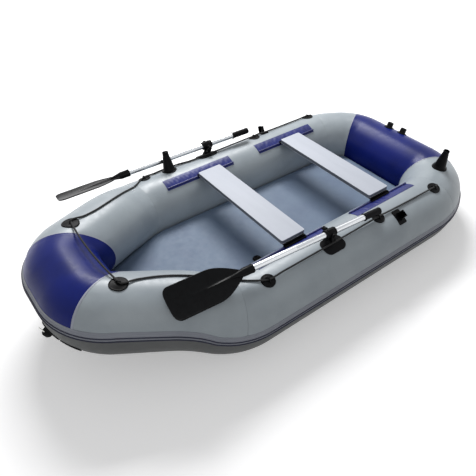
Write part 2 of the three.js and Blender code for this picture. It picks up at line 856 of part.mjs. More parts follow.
function seatClipGeometry(centre) {
  const towardTube = Math.atan2(-Math.sin(degrees(beadAngle)), Math.cos(degrees(beadAngle)));
  const start = towardTube + degrees(clipMouthAngle);
  const end = towardTube + 2 * Math.PI - degrees(clipMouthAngle);
  const inner = beadRadius + clipRunGap;
  const outer = inner + clipWall;
  const hook = new THREE.Shape();
  hook.absarc(beadY, beadZ, outer, start, end, false);
  hook.absarc(beadY, beadZ, inner, end, start, true);
  const underside = seatUnderside - seamGap;
  const plate = roundedRectangle(clipPlateWidth, clipPlateThickness, seamGap);
  const hookSolid = solidFrom(prism(hook, 0, clipLength, hookSteps));
  const plateSolid = solidFrom(
    prism(plate, 0, clipLength, 1).translate(
      beadY + outer / 2 - clipPlateWidth / 2,
      underside - clipPlateThickness / 2,
      0,
    ),
  );
  const neck = new THREE.BoxGeometry(outer, underside - beadZ - inner, clipLength)
    .translate(beadY, (underside + beadZ + inner) / 2, clipLength / 2);
  const clip = hookSolid.add(plateSolid).add(solidFrom(neck));
  return geometryFrom(clip).applyMatrix4(alongX).translate(centre - clipLength / 2, 0, 0);
}

function seatBoardGeometry(centre) {
  const shape = roundedRectangle(seatWidth - 2 * seatEdge, seatLength - 2 * seatEdge, seatCorner);
  const board = new THREE.ExtrudeGeometry(shape, {
    depth: seatThickness - 2 * seatEdge,
    bevelThickness: seatEdge,
    bevelSize: seatEdge,
    bevelSegments: 1,
    curveSegments: 2,
  });
  return mergeVertices(board.translate(centre, 0, seatUnderside + seatEdge));
}

function buildSeats() {
  for (const end of ['fore', 'aft']) {
    const board = seatBoardGeometry(seatCentres[end]);
    addPiece(`${end}_seat_board`, geometryFrom(solidFrom(board)), 'seatBoard');
    for (const side of ['port', 'starboard']) {
      addOnSide(side, `${end}_seat_track`, trackGeometry(trackCentres[end]), 'trackFabric');
      addOnSide(side, `${end}_seat_clip`, seatClipGeometry(seatCentres[end]), 'blackPlastic');
    }
  }
}

// Eyelets and the grab line

const eyeCentreHeight = seamGap + eyeSlotSill + eyeSlotHeight / 2;

function eyeletGeometry(name) {
  const { x, angle, turn } = eyelets[name];
  const padRadius = name.endsWith('bow') ? bowEyeletPadRadius : eyeletPadRadius;
  const place = placeAtX(x);
  const foot = wrappedFoot(disc(padRadius, padSides), surfaceFrame(place, angle), eyeletPadThickness);
  const low = seamGap + eyeSink;
  const rise = eyeHeight - low;
  const shoulder = rise * eyeShoulderShare;
  const arch = polygonShape([
    [-eyeWidth / 2, 0],
    [eyeWidth / 2, 0],
    [eyeWidth / 2, shoulder],
    [eyeWidth / 2 - shoulder, rise],
    [-eyeWidth / 2 + shoulder, rise],
    [-eyeWidth / 2, shoulder],
  ]);
  const slot = roundedRectangle(eyeSlotWidth, eyeSlotHeight, eyeSlotHeight / 2);
  const upright = frame(axisY, axisZ, axisX, new THREE.Vector3(0, 0, low));
  const half = eyeThickness / 2;
  const at = surfaceFrame(place, angle, turn);
  const archSolid = solidFrom(prism(arch, -half, half).applyMatrix4(upright).applyMatrix4(at));
  const slotPrism = prism(slot, -eyeWidth, eyeWidth, smallSteps).translate(0, eyeCentreHeight - low, 0);
  const plate = archSolid.subtract(movedSolid(slotPrism.applyMatrix4(upright), at));
  return geometryFrom(clearOfTube(foot.add(plate)));
}

// Centre of the line where it passes an eyelet, and where it lies on the tube
const eyePoint = (name) => surfaceFrame(placeAtX(eyelets[name].x), eyelets[name].angle);

function lineInEye(name) {
  return new THREE.Vector3(0, 0, eyeCentreHeight).applyMatrix4(eyePoint(name));
}

function lineOnTube([x, angle, extra]) {
  return surfacePoint(placeAtX(x), angle, seamGap + ropeRestGap + ropeRadius + extra);
}

// Free end of the line beyond its last eyelet
function lineTail(name) {
  const { x, angle } = eyelets[name];
  return lineOnTube([x - lineTailLength, angle, eyeSlotSill]);
}

// Route whose extrusion steps fall on the chosen points
class Route extends THREE.Curve {
  constructor(points) {
    super();
    this.points = points;
  }

  getPoint(t, target = new THREE.Vector3()) {
    const s = t * (this.points.length - 1);
    const i = Math.min(Math.floor(s), this.points.length - 2);
    return target.copy(this.points[i]).lerp(this.points[i + 1], s - i);
  }

  getPointAt(u, target) {
    return this.getPoint(u, target);
  }

  getTangentAt(u, target = new THREE.Vector3()) {
    const i = Math.round(u * (this.points.length - 1));
    const before = this.points[Math.max(i - 1, 0)];
    const here = this.points[i];
    const after = this.points[Math.min(i + 1, this.points.length - 1)];
    const incoming = new THREE.Vector3().subVectors(here, before).normalize();
    const outgoing = new THREE.Vector3().subVectors(after, here).normalize();
    return target.copy(incoming).add(outgoing).normalize();
  }
}

function toStarboard(point) {
  return new THREE.Vector3(point.x, -point.y, point.z);
}

function lineRoute() {
  const port = [
    lineInEye('port_bow'),
    ...portLineOverBow.map(lineOnTube),
    lineInEye('port_fore'),
    lineInEye('port_aft'),
    lineInEye('port_end'),
    lineTail('port_end'),
  ];
  const starboard = [
    lineInEye('starboard_bow'),
    ...starboardLineOverBow.map(lineOnTube),
    lineInEye('starboard_fore'),
    ...starboardLineRoundHolder.map(lineOnTube),
    lineInEye('starboard_aft'),
    lineInEye('starboard_end'),
    lineTail('starboard_end'),
  ].map(toStarboard);
  return [...port.reverse(), ...starboard];
}

function buildEyeletsAndLine() {
  for (const name of Object.keys(eyelets)) {
    const [side, where] = name.split('_');
    addOnSide(side, `${where}_eyelet`, eyeletGeometry(name), 'blackPlastic');
  }
  const route = new Route(lineRoute());
  const line = new THREE.ExtrudeGeometry(disc(ropeRadius, ropeSides), {
    steps: route.points.length - 1,
    extrudePath: route,
  });
  line.deleteAttribute('normal');
  line.deleteAttribute('uv');
  addPiece('grab_line', mergeVertices(line), 'blackRope');
}

// Oarlocks

function oarAxes(side) {
  const { lockX, lockOut, lockRise, along } = oars[side];
  const origin = new THREE.Vector3(lockX, sideAxisY + lockOut, axisHeight + tubeRadius + lockRise);
  const x = new THREE.Vector3(...along).normalize();
  const y = new THREE.Vector3().crossVectors(axisZ, x).normalize();
  const z = new THREE.Vector3().crossVectors(x, y);
  return { x, y, z, origin };
}

// Upright frame at the lock, its X along the oar's heading
function yokeFrame(side) {
  const { y, origin } = oarAxes(side);
  const heading = new THREE.Vector3().crossVectors(y, axisZ);
  return frame(heading, y, axisZ, origin);
}

// Frame along the oar's shaft, its X toward the blade
function shaftFrame(side) {
  const { x, y, z, origin } = oarAxes(side);
  return frame(x, y, z, origin);
}

const yokeBase = -(ringRadius + yokeRingGap + yokePlateThickness);

function lockPadGeometry(side) {
  const { x, angle } = lockPads[side];
  const at = surfaceFrame(placeAtX(x), angle);
  const foot = wrappedFoot(roundedRectangle(lockPadLength, lockPadWidth, lockPadCorner), at, lockPadThickness);
  const top = yokeBase - seamGap;
  const reach = tubeRadius * footReachShare;
  const upright = yokeFrame(side);
  const boss = movedSolid(rod(lockBossRadius, top - reach, top, valveSides), upright);
  const plinth = movedSolid(rod(lockPlinthRadius, -tubeRadius, 0, valveSides), upright)
    .intersect(loopSolid(seamGap + lockPlinthHeight));
  const boreDepth = lockPinLength + lockFloor;
  const bore = movedSolid(rod(lockPinRadius + lockPinGap, top - boreDepth, top + overrun, valveSides), upright);
  return geometryFrom(clearOfTube(foot.add(boss).add(plinth)).subtract(bore));
}

function yokeGeometry(side) {
  const armInner = ringRadius + yokeArmGap;
  const armOuter = armInner + yokeArmThickness;
  const plate = rod(yokePlateRadius, yokeBase, yokeBase + yokePlateThickness, valveSides);
  const bar = prism(
    roundedRectangle(yokeArmWidth, 2 * armOuter, overrun),
    yokeBase,
    yokeBase + yokePlateThickness,
    smallSteps,
  );
  const pin = rod(lockPinRadius, yokeBase - lockPinLength, yokeBase + overrun, valveSides);
  let yoke = solidFrom(plate).add(solidFrom(bar)).add(solidFrom(pin));
  const arm = new THREE.Shape();
  const half = yokeArmWidth / 2;
  arm.moveTo(-half, yokeBase);
  arm.lineTo(half, yokeBase);
  arm.lineTo(half, 0);
  arm.absarc(0, 0, half, 0, Math.PI, false);
  const sideways = frame(axisX, axisZ, axisY.clone().negate(), new THREE.Vector3());
  for (const sign of [-1, 1]) {
    const low = sign > 0 ? armInner : -armOuter;
    const high = sign > 0 ? armOuter : -armInner;
    yoke = yoke.add(movedSolid(prism(arm, low, high, armSteps), sideways));
  }
  const eye = rod(trunnionRadius + lockPinGap, -armOuter - overrun, armOuter + overrun, pinSides);
  yoke = yoke.subtract(movedSolid(eye, sideways));
  return geometryFrom(yoke).applyMatrix4(yokeFrame(side));
}

// Lobed hand knob
function knobShape() {
  const points = [];
  const steps = knobLobes * knobLobePoints;
  for (let i = 0; i < steps; i += 1) {
    const turn = (i * 2 * Math.PI) / steps;
    const radius = knobRadius - (i % knobLobePoints === 0 ? knobNotch : 0);
    points.push([radius * Math.cos(turn), radius * Math.sin(turn)]);
  }
  return polygonShape(points);
}

function clampRingGeometry(side) {
  const half = ringLength / 2;
  const barrel = turned([
    [shaftBore, -half],
    [ringRadius - ringLip, -half],
    [ringRadius, -half + ringLip],
    [ringRadius, half - ringLip],
    [ringRadius - ringLip, half],
    [shaftBore, half],
    [shaftBore, -half],
  ], shaftSides);
  const armOuter = ringRadius + yokeArmGap + yokeArmThickness;
  const clear = armOuter + shaftFitGap;
  const inside = (shaftBore + ringRadius) / 2;
  const across = frame(axisX, axisZ, axisY.clone().negate(), new THREE.Vector3());
  const lengthwise = frame(axisY, axisZ, axisX, new THREE.Vector3());
  let ring = movedSolid(barrel, lengthwise);
  for (const sign of [-1, 1]) {
    const low = sign > 0 ? inside : -clear - overrun;
    const high = sign > 0 ? clear + overrun : -inside;
    ring = ring.add(movedSolid(rod(trunnionRadius, low, high, pinSides), across));
  }
  const knob = prism(knobShape(), clear, clear + knobLength);
  const head = rod(trunnionHeadRadius, -clear - trunnionHeadLength, -clear, pinSides);
  ring = ring.add(movedSolid(knob, across)).add(movedSolid(head, across));
  return geometryFrom(ring).applyMatrix4(shaftFrame(side));
}

function buildOarlocks(side) {
  addOnSide(side, 'oarlock_socket', lockPadGeometry(side), 'blackRubber');
  addOnSide(side, 'oarlock_yoke', yokeGeometry(side), 'blackPlastic');
  addOnSide(side, 'oarlock_ring', clampRingGeometry(side), 'blackPlastic');
}

// Oars

// Revolved piece on the shaft: its outline is radius and distance from the end of the grip
function onShaft(profile, side) {
  const place = frame(axisY, axisZ, axisX, new THREE.Vector3(-oars[side].lockAt, 0, 0));
  return turned(profile, shaftSides).applyMatrix4(place).applyMatrix4(shaftFrame(side));
}

const flatToCorner = 1 / Math.cos(Math.PI / shaftSides);
const spigotOuter = shaftRadius - shaftWall - shaftFitGap * flatToCorner;
const shaftBore = (shaftRadius + shaftFitGap) * flatToCorner;

function gripGeometry(side) {
  const outer = shaftBore + gripWall;
  const rim = outer + gripFlange;
  return onShaft([
    [0, 0],
    [outer - gripEndWall / 2, 0],
    [outer, gripEndWall / 2],
    [outer, gripLength - gripEndWall],
    [rim, gripLength - gripEndWall / 2],
    [rim, gripLength],
    [shaftBore, gripLength],
    [shaftBore, gripEndWall],
    [0, gripEndWall],
  ], side);
}

function upperShaftGeometry(side) {
  const start = gripEndWall + seamGap;
  const spigotEnd = jointAt + spigotLength;
  const inner = spigotOuter - spigotWall;
  return solidFrom(onShaft([
    [shaftRadius, start],
    [shaftRadius, jointAt],
    [spigotOuter, jointAt],
    [spigotOuter, spigotEnd],
    [inner, spigotEnd],
    [inner, start],
    [shaftRadius, start],
  ], side));
}

function lowerShaftGeometry(side) {
  const start = jointAt + seamGap;
  const end = socketAt + socketDepth - seamGap;
  const inner = shaftRadius - shaftWall;
  return solidFrom(onShaft([
    [shaftRadius, start],
    [shaftRadius, end],
    [inner, end],
    [inner, start],
    [shaftRadius, start],
  ], side));
}

// Upright place of the locking button, on top of the shaft just past the joint
function buttonFrame(side) {
  const offset = new THREE.Vector3(jointAt + buttonInset - oars[side].lockAt, 0, 0);
  return shaftFrame(side).multiply(new THREE.Matrix4().setPosition(offset));
}

function buttonGeometry(side) {
  const top = shaftRadius + buttonProud;
  const flat = (spigotOuter - spigotWall) * Math.cos(Math.PI / shaftSides);
  const spread = buttonRadius + buttonFlange;
  const flangeTop = Math.sqrt(flat * flat - spread * spread) - buttonSeatGap;
  const profile = [
    [0, flangeTop - buttonFlangeThickness],
    [spread, flangeTop - buttonFlangeThickness],
    [spread, flangeTop],
    [buttonRadius, flangeTop],
    [buttonRadius, top - buttonProud / 2],
    [buttonRadius - buttonProud / 2, top],
    [0, top],
  ];
  return turned(profile, pinSides).applyMatrix4(buttonFrame(side));
}

// Half-width of the blade at a share of its length: it spreads from the root, then runs straight
function bladeHalfWidthAt(share) {
  const length = oarLength - bladeRootAt;
  const spread = Math.min(share / bladeShoulderShare, 1);
  const ease = Math.sin((spread * Math.PI) / 2);
  const width = bladeHalfWidth * (bladeRootShare + (1 - bladeRootShare) * ease);
  const fromTip = length * (1 - share);
  const corner = Math.min(bladeCorner, bladeHalfWidth / 2);
  if (fromTip >= corner) {
    return width;
  }
  const inset = corner - fromTip;
  return width - corner + Math.sqrt(corner * corner - inset * inset);
}

function bladeGeometry(side) {
  const length = oarLength - bladeRootAt;
  const rings = bladeShares.map((share) => {
    const half = bladeHalfWidthAt(share);
    const x = bladeRootAt + share * length;
    const ribLeft = Math.max(1 - share / bladeRibEndShare, 0);
    const dish = (a) => bladeDish * (1 - a * a) * Math.sin((share * Math.PI) / 2);
    const top = acrossShares.map((a) => {
      const rib = a === 0 ? bladeRibHeight * ribLeft : 0;
      return new THREE.Vector3(x, a * half, bladeThickness / 2 - dish(a) + rib);
    });
    const below = acrossShares.map((a) => {
      const rib = a === 0 ? bladeRibHeight * ribLeft : 0;
      return new THREE.Vector3(x, a * half, -bladeThickness / 2 - dish(a) - rib);
    });
    return [...top, ...below.reverse()];
  });
  const outer = shaftBore + socketWall;
  const shaftLike = frame(axisY, axisZ, axisX, new THREE.Vector3());
  const coneEnd = bladeRootAt + length * bladeConeShare;
  const socket = turned([
    [0, socketAt],
    [outer, socketAt],
    [outer, socketAt + socketDepth],
    [bladeSpineHalf, coneEnd],
    [0, coneEnd],
  ], shaftSides);
  const hole = rod(shaftBore, socketAt - overrun, socketAt + socketDepth, shaftSides);
  const blade = solidFrom(loft(rings, false))
    .add(movedSolid(socket, shaftLike))
    .subtract(movedSolid(hole, shaftLike));
  const tilt = new THREE.Matrix4().makeRotationX(-degrees(oars[side].bladeTilt));
  const slide = new THREE.Matrix4().makeTranslation(-oars[side].lockAt, 0, 0);
  const place = shaftFrame(side).multiply(tilt).multiply(slide);
  return geometryFrom(blade).applyMatrix4(place);
}

function buildOar(side) {
  const bore = movedSolid(
    rod(buttonRadius + buttonBoreGap, 0, shaftRadius + overrun, pinSides),
    buttonFrame(side),
  );
  addOnSide(side, 'oar_grip', geometryFrom(solidFrom(gripGeometry(side))), 'blackRubber');
  addOnSide(side, 'oar_upper_shaft', geometryFrom(upperShaftGeometry(side).subtract(bore)), 'oarTube');
  addOnSide(side, 'oar_lower_shaft', geometryFrom(lowerShaftGeometry(side).subtract(bore)), 'oarTube');
  addOnSide(side, 'oar_button', geometryFrom(solidFrom(buttonGeometry(side))), 'steel');
  addOnSide(side, 'oar_blade', bladeGeometry(side), 'blackPlastic');
}

// Rod holders and oar clips

function rodHolderGeometry(side) {
  const { x, angle } = rodHolders[side];
  const at = surfaceFrame(placeAtX(x), angle);
  const foot = wrappedFoot(disc(holderFootRadius, padSides), at, holderFootThickness);
  const waist = holderHeight * holderWaistShare;
  const cone = turned([
    [0, -holderSkirtRadius / 2],
    [holderSkirtRadius, -holderSkirtRadius / 2],
    [holderSkirtRadius, holderStep],
    [holderWaistRadius, waist],
    [holderMouthRadius, holderHeight - holderCollar],
    [holderMouthRadius, holderHeight],
    [0, holderHeight],
  ], holderSides);
  const bore = rod(holderBoreRadius, holderHeight - holderBoreDepth, holderHeight + overrun, holderSides);
  const body = clearOfTube(foot.add(movedSolid(cone, at)));
  return geometryFrom(body.subtract(movedSolid(bore, at)));
}

function oarClipGeometry(side) {
  const { x, angle } = oarClips[side];
  const at = surfaceFrame(placeAtX(x), angle);
  const outline = roundedRectangle(clipFootLength, clipFootAround, clipFootCorner);
  const foot = wrappedFoot(outline, at, clipFootThickness, smallSteps);
  const seat = clipFootThickness + clipSaddle;
  const half = prongGap / 2;
  const neck = prongNeckGap / 2;
  const throat = seat + (prongHeight - seat) * prongThroatShare;
  const section = polygonShape([
    [-half - prongThickness, 0],
    [half + prongThickness, 0],
    [half + prongThickness, throat - half],
    [neck + prongThickness, throat],
    [half + prongThickness, prongHeight],
    [half, prongHeight],
    [neck, throat],
    [half, throat - half],
    [half, seat + half / 2],
    [half / 2, seat],
    [-half / 2, seat],
    [-half, seat + half / 2],
    [-half, throat - half],
    [-neck, throat],
    [-half, prongHeight],
    [-half - prongThickness, prongHeight],
    [-neck - prongThickness, throat],
    [-half - prongThickness, throat - half],
  ]);
  const prongs = prism(section, -prongWidth / 2, prongWidth / 2).applyMatrix4(alongX);
  return geometryFrom(clearOfTube(foot.add(movedSolid(prongs, at))));
}

// Motor bracket sockets: blocks with an upright slot
function motorSocketGeometry(side) {
  const { y, angle } = motorSockets[side];
  const at = surfaceFrame(placeOnStern(y), angle);
  const foot = wrappedFoot(disc(socketFootRadius, padSides), at, socketFootThickness);
  const outer = roundedRectangle(socketBlockWidth, socketBlockDepth, socketFootThickness);
  const slot = roundedRectangle(socketSlotWidth, socketSlotDepth, seamGap);
  const block = prism(outer, 0, socketBlockHeight, smallSteps);
  const hollow = prism(slot, socketBlockHeight - socketSlotReach, socketBlockHeight + overrun, 1);
  const body = clearOfTube(foot.add(movedSolid(block, at)));
  return geometryFrom(body.subtract(movedSolid(hollow, at)));
}

// Bow: towing ring on its foot, and the wear patch beside it

const towBarHeight = towBridgeHeight - towBridgeCorner;
const bandTop = strakeBedGap + bottomFabric + bandGap;

function towFootGeometry() {
  const at = surfaceFrame(placeOnBow(towPlaceShare), towAngle, towTurn);
  const outline = roundedRectangle(towFootAround, towFootLength, towFootAround / 2);
  const foot = wrappedFoot(outline, at, towFootThickness, fineSteps, bandTop);
  const bridge = roundedRectangle(towBridgeWidth, towBridgeHeight * 2, towBridgeCorner);
  const block = prism(bridge, -towBridgeLength / 2, towBridgeLength / 2, fineSteps).applyMatrix4(alongX);
  const boreRadius = towWireRadius + towWireGap;
  const bore = rod(boreRadius, -towBridgeLength, towBridgeLength, pinSides)
    .translate(0, towBarHeight, 0)
    .applyMatrix4(alongX);
  const body = clearOfTube(foot.add(movedSolid(block, at)), bandTop);
  return geometryFrom(body.subtract(movedSolid(bore, at)));
}

// Closed wire ring: a straight bar and a bow, as mitred rings of points
function wireLoop(points, radius, sides) {
  const rings = points.map((point, i) => {
    const before = points[(i + points.length - 1) % points.length];
    const after = points[(i + 1) % points.length];
    const incoming = new THREE.Vector3().subVectors(point, before).normalize();
    const outgoing = new THREE.Vector3().subVectors(after, point).normalize();
    const along = incoming.clone().add(outgoing).normalize();
    const side = new THREE.Vector3().crossVectors(axisZ, along);
    const stretch = 1 / Math.cos(incoming.angleTo(outgoing) / 2);
    const ring = [];
    for (let j = 0; j < sides; j += 1) {
      const turn = (j * 2 * Math.PI) / sides;
      const out = side.clone().multiplyScalar(radius * stretch * Math.cos(turn));
      ring.push(point.clone().add(out).addScaledVector(axisZ, radius * Math.sin(turn)));
    }
    return ring;
  });
  return loft(rings, true);
}

function towRingGeometry() {
  const at = surfaceFrame(placeOnBow(towPlaceShare), towAngle, towTurn);
  const bend = towRingHalfWidth;
  const points = [
    [-towRingHalfWidth + towRingCorner / 2, 0],
    [towRingHalfWidth - towRingCorner / 2, 0],
    [towRingHalfWidth, towRingCorner / 2],
  ];
  const straight = Math.max(towRingReach - bend, towRingCorner);
  for (let i = 0; i <= wirePoints; i += 1) {
    const turn = (i * Math.PI) / wirePoints;
    points.push([bend * Math.cos(turn), straight + (towRingReach - straight) * Math.sin(turn)]);
  }
  points.push([-towRingHalfWidth, towRingCorner / 2]);
  const loop = wireLoop(points.map(([x, y]) => new THREE.Vector3(x, y, 0)), towWireRadius, wireSides);
  const lay = new THREE.Matrix4().makeRotationX(Math.PI - degrees(towRingLean));
  lay.setPosition(0, 0, towBarHeight);
  return loop.applyMatrix4(lay).applyMatrix4(at);
}

function wearPatchGeometry() {
  const at = surfaceFrame(placeOnBow(wearPlaceShare), wearAngle);
  const outline = roundedRectangle(wearPatchLength, wearPatchAround, wearPatchCorner);
  const patch = wrappedFoot(outline, at, towFootThickness, fineSteps, bandTop);
  return geometryFrom(clearOfTube(patch, bandTop));
}

// Inflation valves, each with its screw cap

function valveBodyProfile(depth) {
  return [
    [valveBoreRadius, valveFlangeThickness + valveWall],
    [valveBoreRadius + valveWall, valveFlangeThickness + valveWall],
    [valveBoreRadius + valveWall, valveFlangeThickness],
    [valveFlangeRadius, valveFlangeThickness],
    [valveFlangeRadius, 0],
    [valveThroatRadius, 0],
    [valveThroatRadius, -depth],
    [valveBoreRadius, -depth],
    [valveBoreRadius, valveFlangeThickness + valveWall],
  ];
}

function valveCapProfile() {
  const low = valveFlangeThickness + seamGap;
  const bore = valveBoreRadius + valveWall + capThreadGap;
  const top = low + valveCapHeight;
  return [
    [0, top - valveWall],
    [bore, top - valveWall],
    [bore, low],
    [valveCapRadius, low],
    [valveCapRadius, top - valveCapSkirt],
    [valveCapRadius - valveCapSkirt, top],
    [0, top],
  ];
}

const floorValvePlace = frame(
  axisX,
  axisY,
  axisZ,
  new THREE.Vector3(floorValveX, floorValveY, floorTopHeight + seamGap),
);

function buildFloorValve() {
  const body = turned(valveBodyProfile(valveThroatDepth), valveSides).applyMatrix4(floorValvePlace);
  const cap = turned(valveCapProfile(), valveSides).applyMatrix4(floorValvePlace);
  addPiece('floor_valve', geometryFrom(solidFrom(body)), 'blackPlastic');
  addPiece('floor_valve_cap', geometryFrom(solidFrom(cap)), 'blackPlastic');
}

// The chamber valve stands on the tube's inboard face, its throat ending at the fabric
function buildHullValve() {
  const at = surfaceFrame(placeAtX(hullValveX), hullValveAngle);
  const lift = new THREE.Matrix4().makeTranslation(0, 0, seamGap);
  const place = at.multiply(lift);
  const body = turned(valveBodyProfile(valveFlangeThickness / 2), valveSides).applyMatrix4(place);
  const cap = turned(valveCapProfile(), valveSides).applyMatrix4(place);
  const seated = clearOfTube(solidFrom(body));
  addPiece('hull_valve', geometryFrom(seated), 'blackPlastic');
  addPiece('hull_valve_cap', geometryFrom(solidFrom(cap)), 'blackPlastic');
}

buildTubePanels();
buildStrake();
buildWearBand();
buildBottom();
buildFloor();
buildSeats();
buildEyeletsAndLine();
for (const side of ['port', 'starboard']) {
  buildOarlocks(side);
  buildOar(side);
  addOnSide(side, 'rod_holder', rodHolderGeometry(side), 'blackPlastic');
  addOnSide(side, 'oar_clip', oarClipGeometry(side), 'blackPlastic');
}
addPiece('port_motor_socket', motorSocketGeometry('port'), 'blackPlastic');
addPiece('starboard_motor_socket', motorSocketGeometry('starboard'), 'blackPlastic');
addPiece('tow_ring_foot', towFootGeometry(), 'blackRubber');
addPiece('tow_ring', towRingGeometry(), 'steel');
addPiece('bow_wear_patch', wearPatchGeometry(), 'blackRubber');
buildFloorValve();
buildHullValve();

export default boat;
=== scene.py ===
"""Looks of an inflatable rowing boat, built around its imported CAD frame.

Metres. +X points to the bow, +Y to port and +Z up. The origin lies on the flat bottom, amidships.
Fittings are drawn for the port side and mirrored for the starboard side.
"""

import logging
import math
from dataclasses import dataclass, field, replace
from enum import Enum
from typing import Callable, Sequence

import bpy
import numpy as np
from mathutils import Matrix


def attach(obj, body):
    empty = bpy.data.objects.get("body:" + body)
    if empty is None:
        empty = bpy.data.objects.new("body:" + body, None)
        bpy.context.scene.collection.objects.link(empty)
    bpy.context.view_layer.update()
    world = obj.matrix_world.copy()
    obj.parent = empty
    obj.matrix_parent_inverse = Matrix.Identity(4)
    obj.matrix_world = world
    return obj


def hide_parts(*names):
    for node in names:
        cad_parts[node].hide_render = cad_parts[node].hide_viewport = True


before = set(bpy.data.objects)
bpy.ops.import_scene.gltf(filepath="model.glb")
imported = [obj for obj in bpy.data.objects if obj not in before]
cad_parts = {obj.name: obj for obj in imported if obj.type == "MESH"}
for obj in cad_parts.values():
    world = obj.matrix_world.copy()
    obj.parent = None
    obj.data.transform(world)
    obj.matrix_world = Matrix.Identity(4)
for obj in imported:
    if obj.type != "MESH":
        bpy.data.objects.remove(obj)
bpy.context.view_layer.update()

log = logging.getLogger("boat")
Array = np.ndarray
Tree = bpy.types.NodeTree
Socket = bpy.types.NodeSocket
Pairs = Sequence[tuple[float, float]]
MM = 0.001
SHARP_ANGLE = math.radians(40)
PAD_RINGS = 5
PAD_SINK = 1.5 * MM
POLYMER_IOR = 1.53


class Side(Enum):
    """Side of the boat that a fitting stands on."""

    PORT = "port"
    STARBOARD = "starboard"


class Cap(Enum):
    """How the first and last row of a grid are closed."""

    NONE = "none"
    FAN = "fan"
    POLYGON = "polygon"


# Vectors, frames and outlines


def unit(vectors: Array) -> Array:
    """Scales vectors to a length of one.

    Args:
        vectors: Array whose last axis holds the coordinates.

    Returns:
        Array of the same shape.
    """
    vectors = np.asarray(vectors, float)
    return vectors / np.linalg.norm(vectors, axis=-1, keepdims=True)


@dataclass(frozen=True)
class Frame:
    """Local axes at an origin. Local points are carried into the boat's frame."""

    origin: Array
    x: Array
    y: Array
    z: Array

    def carry(self, points: Array) -> Array:
        """Local points in the boat's frame: origin plus each coordinate times its axis."""
        basis = np.stack([self.x, self.y, self.z])
        return self.origin + np.asarray(points, float) @ basis

    def moved(self, x: float = 0, y: float = 0, z: float = 0) -> "Frame":
        """The same axes with the origin moved along them."""
        return replace(self, origin=self.carry(np.array([x, y, z], float)))

    def rolled(self, degrees: float) -> "Frame":
        """The frame turned about its own X."""
        c, s = math.cos(math.radians(degrees)), math.sin(math.radians(degrees))
        return replace(self, y=c * self.y + s * self.z, z=c * self.z - s * self.y)

    def spun(self, degrees: float) -> "Frame":
        """The frame turned about its own Z."""
        c, s = math.cos(math.radians(degrees)), math.sin(math.radians(degrees))
        return replace(self, x=c * self.x + s * self.y, y=c * self.y - s * self.x)

    def reordered(self, order: str) -> "Frame":
        """The frame whose X, Y and Z are the named axes, such as 'yzx'."""
        axes = {"x": self.x, "y": self.y, "z": self.z}
        return Frame(self.origin, *(axes[name] for name in order))


WORLD = Frame(np.zeros(3), np.array([1.0, 0, 0]), np.array([0, 1.0, 0]), np.array([0, 0, 1.0]))
LENGTHWISE = WORLD.reordered("yzx")
SIDEWAYS = replace(WORLD, y=WORLD.z, z=-WORLD.y)


def soften(line: Array, reach: float, steps: int = 3, closed: bool = False) -> Array:
    """Rounds the corners of a line with quadratic curves.

    Each curve leaves one leg a reach before the corner, bends toward it and joins the next leg.

    Args:
        line: Corner points, shape (n, k).
        reach: Distance from the corner at which its curve starts, at most half a leg.
        steps: Spans in each curve.
        closed: Whether the last point joins the first.

    Returns:
        Points of the rounded line.
    """
    line = np.asarray(line, float)
    before, after = np.roll(line, 1, axis=0) - line, np.roll(line, -1, axis=0) - line
    cut_before = np.minimum(reach, np.linalg.norm(before, axis=1) / 2)
    cut_after = np.minimum(reach, np.linalg.norm(after, axis=1) / 2)
    start = line + unit(before) * cut_before[:, None]
    end = line + unit(after) * cut_after[:, None]
    t = np.linspace(0, 1, steps + 1)[None, :, None]
    curves = (1 - t) ** 2 * start[:, None] + 2 * t * (1 - t) * line[:, None] + t**2 * end[:, None]
    if closed:
        return curves.reshape(-1, line.shape[1])
    inner = curves[1:-1].reshape(-1, line.shape[1])
    return np.concatenate([line[:1], inner, line[-1:]])


def round_outline(radius: float, count: int) -> Array:
    """Circle of points round the origin, anticlockwise."""
    turn = np.linspace(0, 2 * math.pi, count, endpoint=False)
    return radius * np.stack([np.cos(turn), np.sin(turn)], axis=1)


def box_outline(width: float, height: float, corner: float, steps: int = 5) -> Array:
    """Rectangle with quarter-circle corners, anticlockwise.

    Args:
        width: Size along the first axis.
        height: Size along the second axis.
        corner: Corner radius, at most half of either size.
        steps: Spans in each corner.

    Returns:
        Outline points, shape (4 * (steps + 1), 2).
    """
    corner = min(corner, width / 2 - 1e-5, height / 2 - 1e-5)
    starts = np.array([0, 1, 2, 3]) * math.pi / 2
    turn = starts[:, None] + np.linspace(0, math.pi / 2, steps + 1)
    signs = np.array([[1, 1], [-1, 1], [-1, -1], [1, -1]])
    centres = signs * np.array([width / 2 - corner, height / 2 - corner])
    arcs = corner * np.stack([np.cos(turn), np.sin(turn)], axis=-1)
    return (centres[:, None] + arcs).reshape(-1, 2)


def inset(outline: Array, distance: float) -> Array:
    """Outline moved inward along its own normals.

    Args:
        outline: Closed outline, either way round.
        distance: How far each point moves inward.

    Returns:
        Outline with as many points.
    """
    nxt, last = np.roll(outline, -1, axis=0), np.roll(outline, 1, axis=0)
    area = np.sum(outline[:, 0] * nxt[:, 1] - outline[:, 1] * nxt[:, 0])
    tangent = unit(nxt - last)
    normal = np.stack([tangent[:, 1], -tangent[:, 0]], axis=1) * np.sign(area)
    return outline - normal * distance


def raised(outline: Array, distance: float, height: float) -> Array:
    """Outline moved inward by a distance and lifted to a height."""
    return np.column_stack([inset(outline, distance), np.full(len(outline), height)])


def disc(radius: float, low: float, high: float) -> list[list[float]]:
    """Profile of a round bar between two heights, from one end's middle to the other's."""
    return [[0, low], [radius, low], [radius, high], [0, high]]


# Surfaces on grids of points


